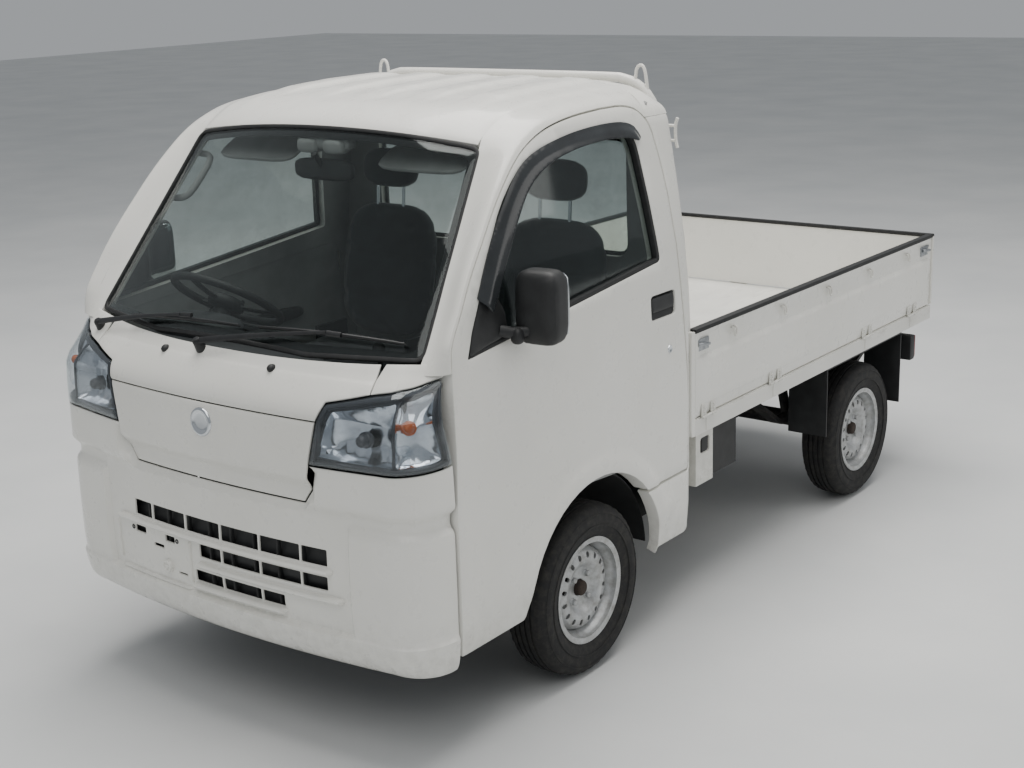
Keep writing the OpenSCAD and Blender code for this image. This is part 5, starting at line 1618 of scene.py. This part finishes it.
# Spare wheel: lies flat under the tail of the bed on its carrier plate.
lo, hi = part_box("spare_wheel")
spare_at = np.array([0.0, (lo[1] + hi[1]) * 500 - FRONT_AXLE, (lo[2] * 1000 + HALF_TYRE)])
lay = lambda p: np.stack([p[:, 1], p[:, 2], p[:, 0]], 1)
spare = piece("spare_tyre", lay(tyre_points) + spare_at, tyre_faces, tyre_rubber, slot="tyre")
piece("spare_rim", lay(rim_points) + spare_at, rim_faces, wheel_silver, slot="wheel_paint")
carrier = together(lathe([(0, -2), (150, -2), (152, -5), (150, -8), (0, -8)], spare_at, (0, 0, 1),
    40), lathe([(12, -4), (12, BED_Z - 52 - 80 - spare_at[2])], spare_at, (0, 0, 1), 20))
piece("spare_carrier", *carrier, zinc_plate, slot="frame_paint")
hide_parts("spare_wheel")

# Seats: foam cushions in woven grey fabric with a welted seam, sewn channels
# and a separate headrest on two chromed posts. Foam swells between seams.
woven_cloth, tree, skin = material("woven_grey_seat_cloth", roughness=0.92, sheen_weight=0.3)
weave_place = put(tree, "TexCoord").outputs["Object"]
warp = put(tree, "TexWave", {"vector": weave_place}, scale=130.0, bands_direction="X",
    distortion=0.6)
weft = put(tree, "TexWave", {"vector": weave_place}, scale=130.0, bands_direction="Z",
    distortion=0.6)
cross = put(tree, "Math", {0: warp.outputs["Fac"], 1: weft.outputs["Fac"]}, operation="MULTIPLY")
feed(tree, skin, base_color=shades(tree, cross, (0.1, "2C2E31"), (0.7, "494C50")),
    normal=bump(tree, cross, 0.5, 0.6))
SEAT_X = 345.0


def cushion(name, centre, half, tilt, power=3.2, crown=16.0, channels=(), along=1):
    """Padded block: closed superellipsoid that swells as cloth under pressure."""
    made = piece(name, *shell(np.zeros(3), half, power, 26, 44), woven_cloth, slot="seat_fabric",
        smooth=180)
    made.data.transform(Matrix.Translation((0, -FRONT_AXLE * 0.001, 0)))
    remesh = made.modifiers.new("remesh", "REMESH")
    remesh.mode, remesh.voxel_size = "VOXEL", 0.012
    bpy.context.view_layer.objects.active = made
    bpy.ops.object.modifier_apply(modifier=remesh.name)
    before = np.array([v.co for v in made.data.vertices])
    cloth = made.modifiers.new("foam", "CLOTH")
    cloth.settings.use_pressure, cloth.settings.uniform_pressure_force = True, 4.0
    cloth.settings.effector_weights.gravity = 0.0
    cloth.settings.quality = 4
    cloth.point_cache.frame_start, cloth.point_cache.frame_end = 1, 20
    for f in range(1, 21):
        bpy.context.scene.frame_set(f)
    bpy.ops.object.modifier_apply(modifier=cloth.name)
    bpy.context.scene.frame_set(1)
    after = np.array([v.co for v in made.data.vertices])
    if len(after) == len(before):
        move = after - before
        far = np.linalg.norm(move, axis=1)[:, None]
        after = before + move * np.minimum(1, (crown / 1000) / np.maximum(far, 1e-9))
        made.data.vertices.foreach_set("co", after.ravel())
    co = np.array([v.co for v in made.data.vertices]) * 1000
    normals = np.array([v.normal for v in made.data.vertices])
    for place, width, depth in channels:
        dent = depth * np.exp(-(((co[:, along] - place) / width) ** 2))
        co -= normals * dent[:, None]
    c, s = math.cos(tilt), math.sin(tilt)
    turned = np.stack([co[:, 0], co[:, 1] * c - co[:, 2] * s, co[:, 1] * s + co[:, 2] * c],
        1) + centre
    turned[:, 1] += FRONT_AXLE
    made.data.vertices.foreach_set("co", (turned * 0.001).ravel())
    smooth = made.modifiers.new("smooth", "SUBSURF")
    smooth.levels = smooth.render_levels = 1
    made.data.shade_smooth()
    made.data.update()
    return made


for hand, x in (("driver", -SEAT_X), ("passenger", SEAT_X)):
    seat = cushion(f"{hand}_seat_cushion", (x, 72, 812), (218, 228, 50), math.radians(4), 3.6, 12,
        ((-120, 9, 7), (60, 9, 6)), 1)
    rest_back = cushion(f"{hand}_seat_back", (x, 346, 1092), (208, 42, 236), math.radians(-11),
        3.4, 10, ((-95, 9, 7), (55, 9, 6), (150, 9, 5)), 2)
    head_pad = cushion(f"{hand}_headrest", (x, 382, 1438), (118, 36, 66), math.radians(-6), 3.0, 6,
        (), 2)
    posts = [swept([(x + s * 58, 372, 1310), (x + s * 58, 380, 1400)], 6, 12, 1.0, (0, 1, 0))
        for s in (-1, 1)]
    piece(f"{hand}_headrest_posts", *together(*posts), chrome, slot="seat_fabric")
    base = together(block(x - 205, x + 205, -125, 300, 727, 768, 8),
        block(x - 214, x - 196, 180, 330, 765, 900, 6),
        block(x + 196, x + 214, 180, 330, 765, 900, 6))
    piece(f"{hand}_seat_frame", *base, black_moulding, slot="black_plastic")
    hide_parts(f"{hand}_seat")

# Dashboard: grained grey moulding with a hooded dial pod, centre stack,
# vents and a shelf in front of the passenger.
dash_moulding = finish("charcoal_moulded_dashboard", (70, 4), ((0.3, "2D2F31"), (0.7, "393B3E")),
    (2.5, 3, 0.3, 0.5), roughness=0.7)
DASH = [(-700, 765), (-566, 706), (-474, 762), (-452, 862), (-457, 962), (-502, 1036),
    (-600, 1060), (-728, 1060), (-752, 1028), (-754, 806)]
section = rounded([p + (22,) for p in DASH], 22, 4)
DASH_HALF, stations = 640, 40
dash_points, dash_faces = [], []
n = len(section)
for k in range(stations + 1):
    x = -DASH_HALF + 2 * DASH_HALF * k / stations
    tuck = 0.93 + 0.07 * (1 - (abs(x) / DASH_HALF) ** 8)
    shelf = 26 * fade(x, 60, 110) * (1 - fade(x, 540, 590))
    for y, z in section:
        y2 = -610 + (y + 610) * tuck
        if z > 900 and y > -560:
            y2 -= shelf
        limit = NOSE + 60 + CORNER_BACK * min(1, abs(x) / CORNER_X) ** 2
        dash_points.append((x, max(y2, limit + 30), z - 6 * (abs(x) / DASH_HALF) ** 4))
for k in range(stations):
    for i in range(n):
        j = (i + 1) % n
        dash_faces.append([k * n + i, k * n + j, (k + 1) * n + j, (k + 1) * n + i])
dash_faces.append(list(range(n))[::-1])
dash_faces.append([stations * n + i for i in range(n)])
dash = piece("dashboard_moulding", np.array(dash_points), dash_faces, dash_moulding,
    slot="grey_plastic")
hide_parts("dashboard")
pod = together(shell(np.array((-345.0, -520, 1062)), (150, 88, 46), 3.0, 16, 30),
    shell(np.array((0.0, -452, 905)), (112, 18, 118), 5.0, 14, 30))
piece("dial_pod_and_stack", *pod, dash_moulding, slot="grey_plastic")
trim = []
for x, w in ((-560, 52), (-60, 42), (60, 42), (560, 52)):
    for i in range(5):
        trim.append(block(x - w, x + w, -470, -440, 972 + i * 9, 975 + i * 9, 1))
for i in range(3):
    trim.append(lathe([(0, 18), (13, 17), (16, 12), (17, 0)], (-52 + i * 52, -438, 868), (0, 1, 0),
        24))
trim.append(block(-86, 86, -440, -430, 905, 958, 4))
trim.append(block(200, 520, -452, -444, 842, 846, 1))
piece("dashboard_controls", *together(*trim), black_moulding, slot="black_plastic")

# Steering wheel: moulded urethane rim on three spokes with a plain horn pad.
urethane_rim = finish("grained_urethane_rim", (20, 4), ((0.3, "151617"), (0.7, "222325")),
    (1.5, 3, 0.2, 0.5), roughness=0.6)
column_axis = np.array([0, math.cos(math.radians(55)), math.sin(math.radians(55))])
wheel_c = np.array([-SEAT_X, -400.0, 1130.0])
wheel_a = np.array([1.0, 0, 0])
wheel_b = np.cross(column_axis, wheel_a)
torus = []
for k in range(64):
    t = 2 * math.pi * k / 64
    torus.append(wheel_c + (wheel_a * math.cos(t) + wheel_b * math.sin(t)) * 172)
ring_points, ring_faces = swept(torus + [torus[0]], 12.5, 14, 1.0, column_axis, False)
wheel_parts = [(ring_points, ring_faces)]
for degrees in (20, 160, 270):
    t = math.radians(degrees)
    out_way = wheel_a * math.cos(t) + wheel_b * math.sin(t)
    spoke = [wheel_c + out_way * r - column_axis * d for r, d in ((36, 14), (80, 13), (130, 8),
        (168, 0))]
    wheel_parts.append(swept(drawn(spoke, 10), 15, 12, 0.42, column_axis))
wheel_parts.append(lathe([(0, 9), (30, 8), (50, 4), (57, -4), (58, -22), (50, -30), (0, -31)],
    wheel_c, column_axis, 40))
wheel_piece = piece("steering_wheel_rim", *together(*wheel_parts), urethane_rim,
    body="steering_wheel", slot="black_plastic", smooth=50)
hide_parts("steering_wheel")
column = together(swept([wheel_c - column_axis * d for d in (36, 60, 110, 170, 226)],
    [30, 38, 42, 40, 34], 20, 1.0, (1, 0, 0)), swept([wheel_c - column_axis * 70 + wheel_a * 40 * s
    for s in (1, 4.2)], [7, 5], 10, 1.0, column_axis), swept([wheel_c - column_axis * 70 - wheel_a
    * 40 * s for s in (1, 4.0)], [7, 5], 10, 1.0, column_axis))
column_piece = piece("column_shroud_and_stalks", *column, black_moulding, slot="black_plastic")
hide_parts("steering_column")

# Small cab fittings: gear and handbrake levers, pedals, inside mirror, sun
# visors and the grab handle on the driver's pillar.
lever = together(swept(drawn([(0, -60, 735), (0, -90, 830), (6, -110, 930)], 14), 8, 12, 1.0,
    (1, 0, 0)), shell(np.array((7.0, -112, 950)), (20, 20, 26), 2.4, 12, 22),
    swept(drawn([(62, 180, 740), (62, 60, 790), (62, -60, 850)], 14),
    [13] * len(drawn([(62, 180, 740), (62, 60, 790), (62, -60, 850)], 14)), 12, 0.8, (1, 0, 0)),
    block(-60, 90, -160, 220, 722, 748, 8))
piece("levers_and_console", *lever, black_moulding, slot="black_plastic")
pedals = []
for x in (-250, -345, -440):
    pedals.append(block(x - 28, x + 28, -612, -600, 470, 540, 4))
    pedals.append(swept(drawn([(x, -608, 520), (x, -640, 620), (x, -660, 720)], 16), 7, 10, 1.0,
        (1, 0, 0)))
piece("pedals", *together(*pedals), arm_paint, slot="black_plastic")
mirror_at = windscreen(np.array([0.0]), np.array([600.0]), 60)[0]
inside_mirror = together(shell(mirror_at + (0, 30, 0), (115, 16, 32), 4.0, 12, 26),
    swept([mirror_at + (0, 26, 0), mirror_at + (0, -8, 50)], 8, 10, 1.0, (1, 0, 0)))
piece("inside_mirror_shell", *inside_mirror, black_moulding, slot="black_plastic")
camera_pod = windscreen(np.array([0.0]), np.array([668.0]), 34)[0]
pod_parts = [shell(camera_pod + (s * 52, 8, 0), (40, 24, 22), 4.0, 12, 24) for s in (-1, 1)]
pod_parts.append(shell(camera_pod + (0, 22, 8), (105, 26, 20), 4.0, 12, 24))
piece("screen_sensor_pod", *together(*pod_parts), cab_lining, slot="grey_plastic")
for hand, s in (("driver", -1), ("passenger", 1)):
    visor_c = windscreen(np.array([s * 330.0]), np.array([668.0]), 62)[0]
    points, faces = shell(np.zeros(3), (160, 62, 9), 5.0, 12, 30)
    c, sn = math.cos(0.5), math.sin(0.5)
    points = np.stack([points[:, 0], points[:, 1] * c - points[:, 2] * sn,
        points[:, 1] * sn + points[:, 2] * c], 1)
    piece(f"{hand}_sun_visor", points + visor_c + (0, 50, 0), faces, cab_lining,
        slot="grey_plastic")
grip = [(-621, -360, 1421), (-560, -356, 1425), (-537, -338, 1445), (-521, -300, 1495),
    (-517, -273, 1531), (-535, -260, 1547), (-595, -258, 1551)]
piece("pillar_grab_handle", *swept(drawn(grip, 10), 11, 14, 0.9, (1, 0, 0)), cab_lining,
    slot="grey_plastic")

# Door trims: moulded pads on the inner panels with an armrest, a pull and a
# window winder.
for hand, mirror in HANDS:
    depth = 46
    trim_loop = rounded([(-575, 640, 20), (470, 560, 40), (452, 1040, 40), (440, 1150, 16),
        (-560, 1085, 16)], 20, 4)
    pressed(f"{hand}_door_trim", behind(side_skin, depth + 3), trim_loop, cab_lining, thick=2,
        roll=0.6, grid=34, mirror=mirror, body=f"{hand}_door", slot="grey_plastic",
        relief=lambda y, z: -5.0 * (fade(z, 700, 720) * (1 - fade(z, 900, 920))) * fade(y, -440,
        -410) * fade(-y, -360, -330))
    arm = shell(np.array((HALF_WIDTH - depth - 16.0, 60, 930)), (20, 180, 22), 4.0, 14, 30)
    handle = swept(drawn([(HALF_WIDTH - depth - 6, -180, 1010),
        (HALF_WIDTH - depth - 22, -150, 1012), (HALF_WIDTH - depth - 22, -60, 1012),
        (HALF_WIDTH - depth - 6, -30, 1010)], 12), 8, 12, 1.0, (0, 0, 1))
    winder = together(lathe([(0, 10), (16, 9), (18, 4), (18, 0)],
        (HALF_WIDTH - depth - 6, -300, 860), (-1, 0, 0), 24),
        swept([(HALF_WIDTH - depth - 16, -300, 860), (HALF_WIDTH - depth - 20, -225, 890)], 6, 10,
        1.0, (1, 0, 0)))
    piece(f"{hand}_armrest_and_winder", *together(arm, handle, winder), black_moulding,
        body=f"{hand}_door", slot="black_plastic", mirror=mirror)

# Chassis and running gear: the frame, axles and springs keep their packed
# shapes. Satin black chassis paint with a coat of road dust.
chassis_black, tree, skin = material("satin_chassis_paint", roughness=0.6)
dust = levels(tree, grain(tree, 60, 6, 0.7), 0, 1, 0.45, 0.8)
feed(tree, skin, base_color=shades(tree, dust, (0.0, "1C1C1D"), (1.0, "4B463F")),
    normal=bump(tree, grain(tree, 4, 4), 0.3, 0.5))

# Cast aluminium: sand-cast skin on the engine and gearbox, oily and dull.
cast_aluminium = finish("sand_cast_aluminium", (40, 6, 0.7), ((0.35, "55534F"), (0.7, "7C7B78")),
    (3, 4, 0.5, 0.6), metallic=0.7, roughness=0.6)

# Aluminised steel: the exhaust and the fuel tank, stained and slightly rusty.
aluminised_steel = finish("aluminised_steel_sheet", (50, 7, 0.75),
    ((0.3, "4B4744"), (0.55, "6A625A"), (0.75, "7A4D33")), (6, 4, 0.2, 0.4), metallic=0.6,
    roughness=0.5)

# Floor mat: ribbed rubber moulded to the foot well and the seat deck.
floor_mat, tree, skin = material("ribbed_rubber_mat", roughness=0.8)
ribs = put(tree, "TexWave", {"vector": put(tree, "TexCoord").outputs["Object"]}, scale=24.0,
    bands_direction="X")
# the colour follows the ribs: the grooves are painted darker than the tops, as painted shade
feed(tree, skin, base_color=shades(tree, ribs.outputs["Fac"], (0.1, "222324"), (0.8, "303132")),
    normal=bump(tree, ribs.outputs["Fac"], 1.0, 0.6))
kept = {chassis_black: ("frame_rails", "frame_crossmembers", "front_suspension", "rear_axle",
    "leaf_springs", "left_knuckle", "right_knuckle", "rear_plate_bracket"),
    cast_aluminium: ("engine", "gearbox_and_propshaft"),
    aluminised_steel: ("exhaust", "fuel_tank"), black_moulding: ("battery_box",
    "front_arch_liners", "rear_splash_guards"), floor_mat: ("cab_floor",),
    bed_enamel: ("bed_floor",), painted_steel: ("side_brackets",)}
for finish, names in kept.items():
    for name in names:
        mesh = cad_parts[name].data
        mesh.materials.clear()
        mesh.materials.append(finish)

# Door hinges: forged steel arms cranked round the pillar foot, painted with
# the body, each with its pin through the knuckle.
HINGE_X = HALF_WIDTH - 9.5
for hand, mirror in HANDS:
    arms = []
    for z in (480, 880):
        arms.append(block(HINGE_X - 66, HINGE_X - 22, -660, -644, z - 15, z + 15, 3))
        arms.append(block(HINGE_X - 66, HINGE_X - 53, -660, -592, z - 15, z + 15, 3))
        arms.append(block(HINGE_X - 66, HINGE_X - 6, -600, -592, z - 15, z + 15, 3))
        arms.append(lathe([(0, 40), (3, 40), (3.5, 39), (3.5, -39), (3, -40), (0, -40)],
            (HINGE_X, -600, z), (0, 0, 1), 16))
    piece(f"{hand}_door_hinge_arms", *together(*arms), painted_steel, mirror=mirror)
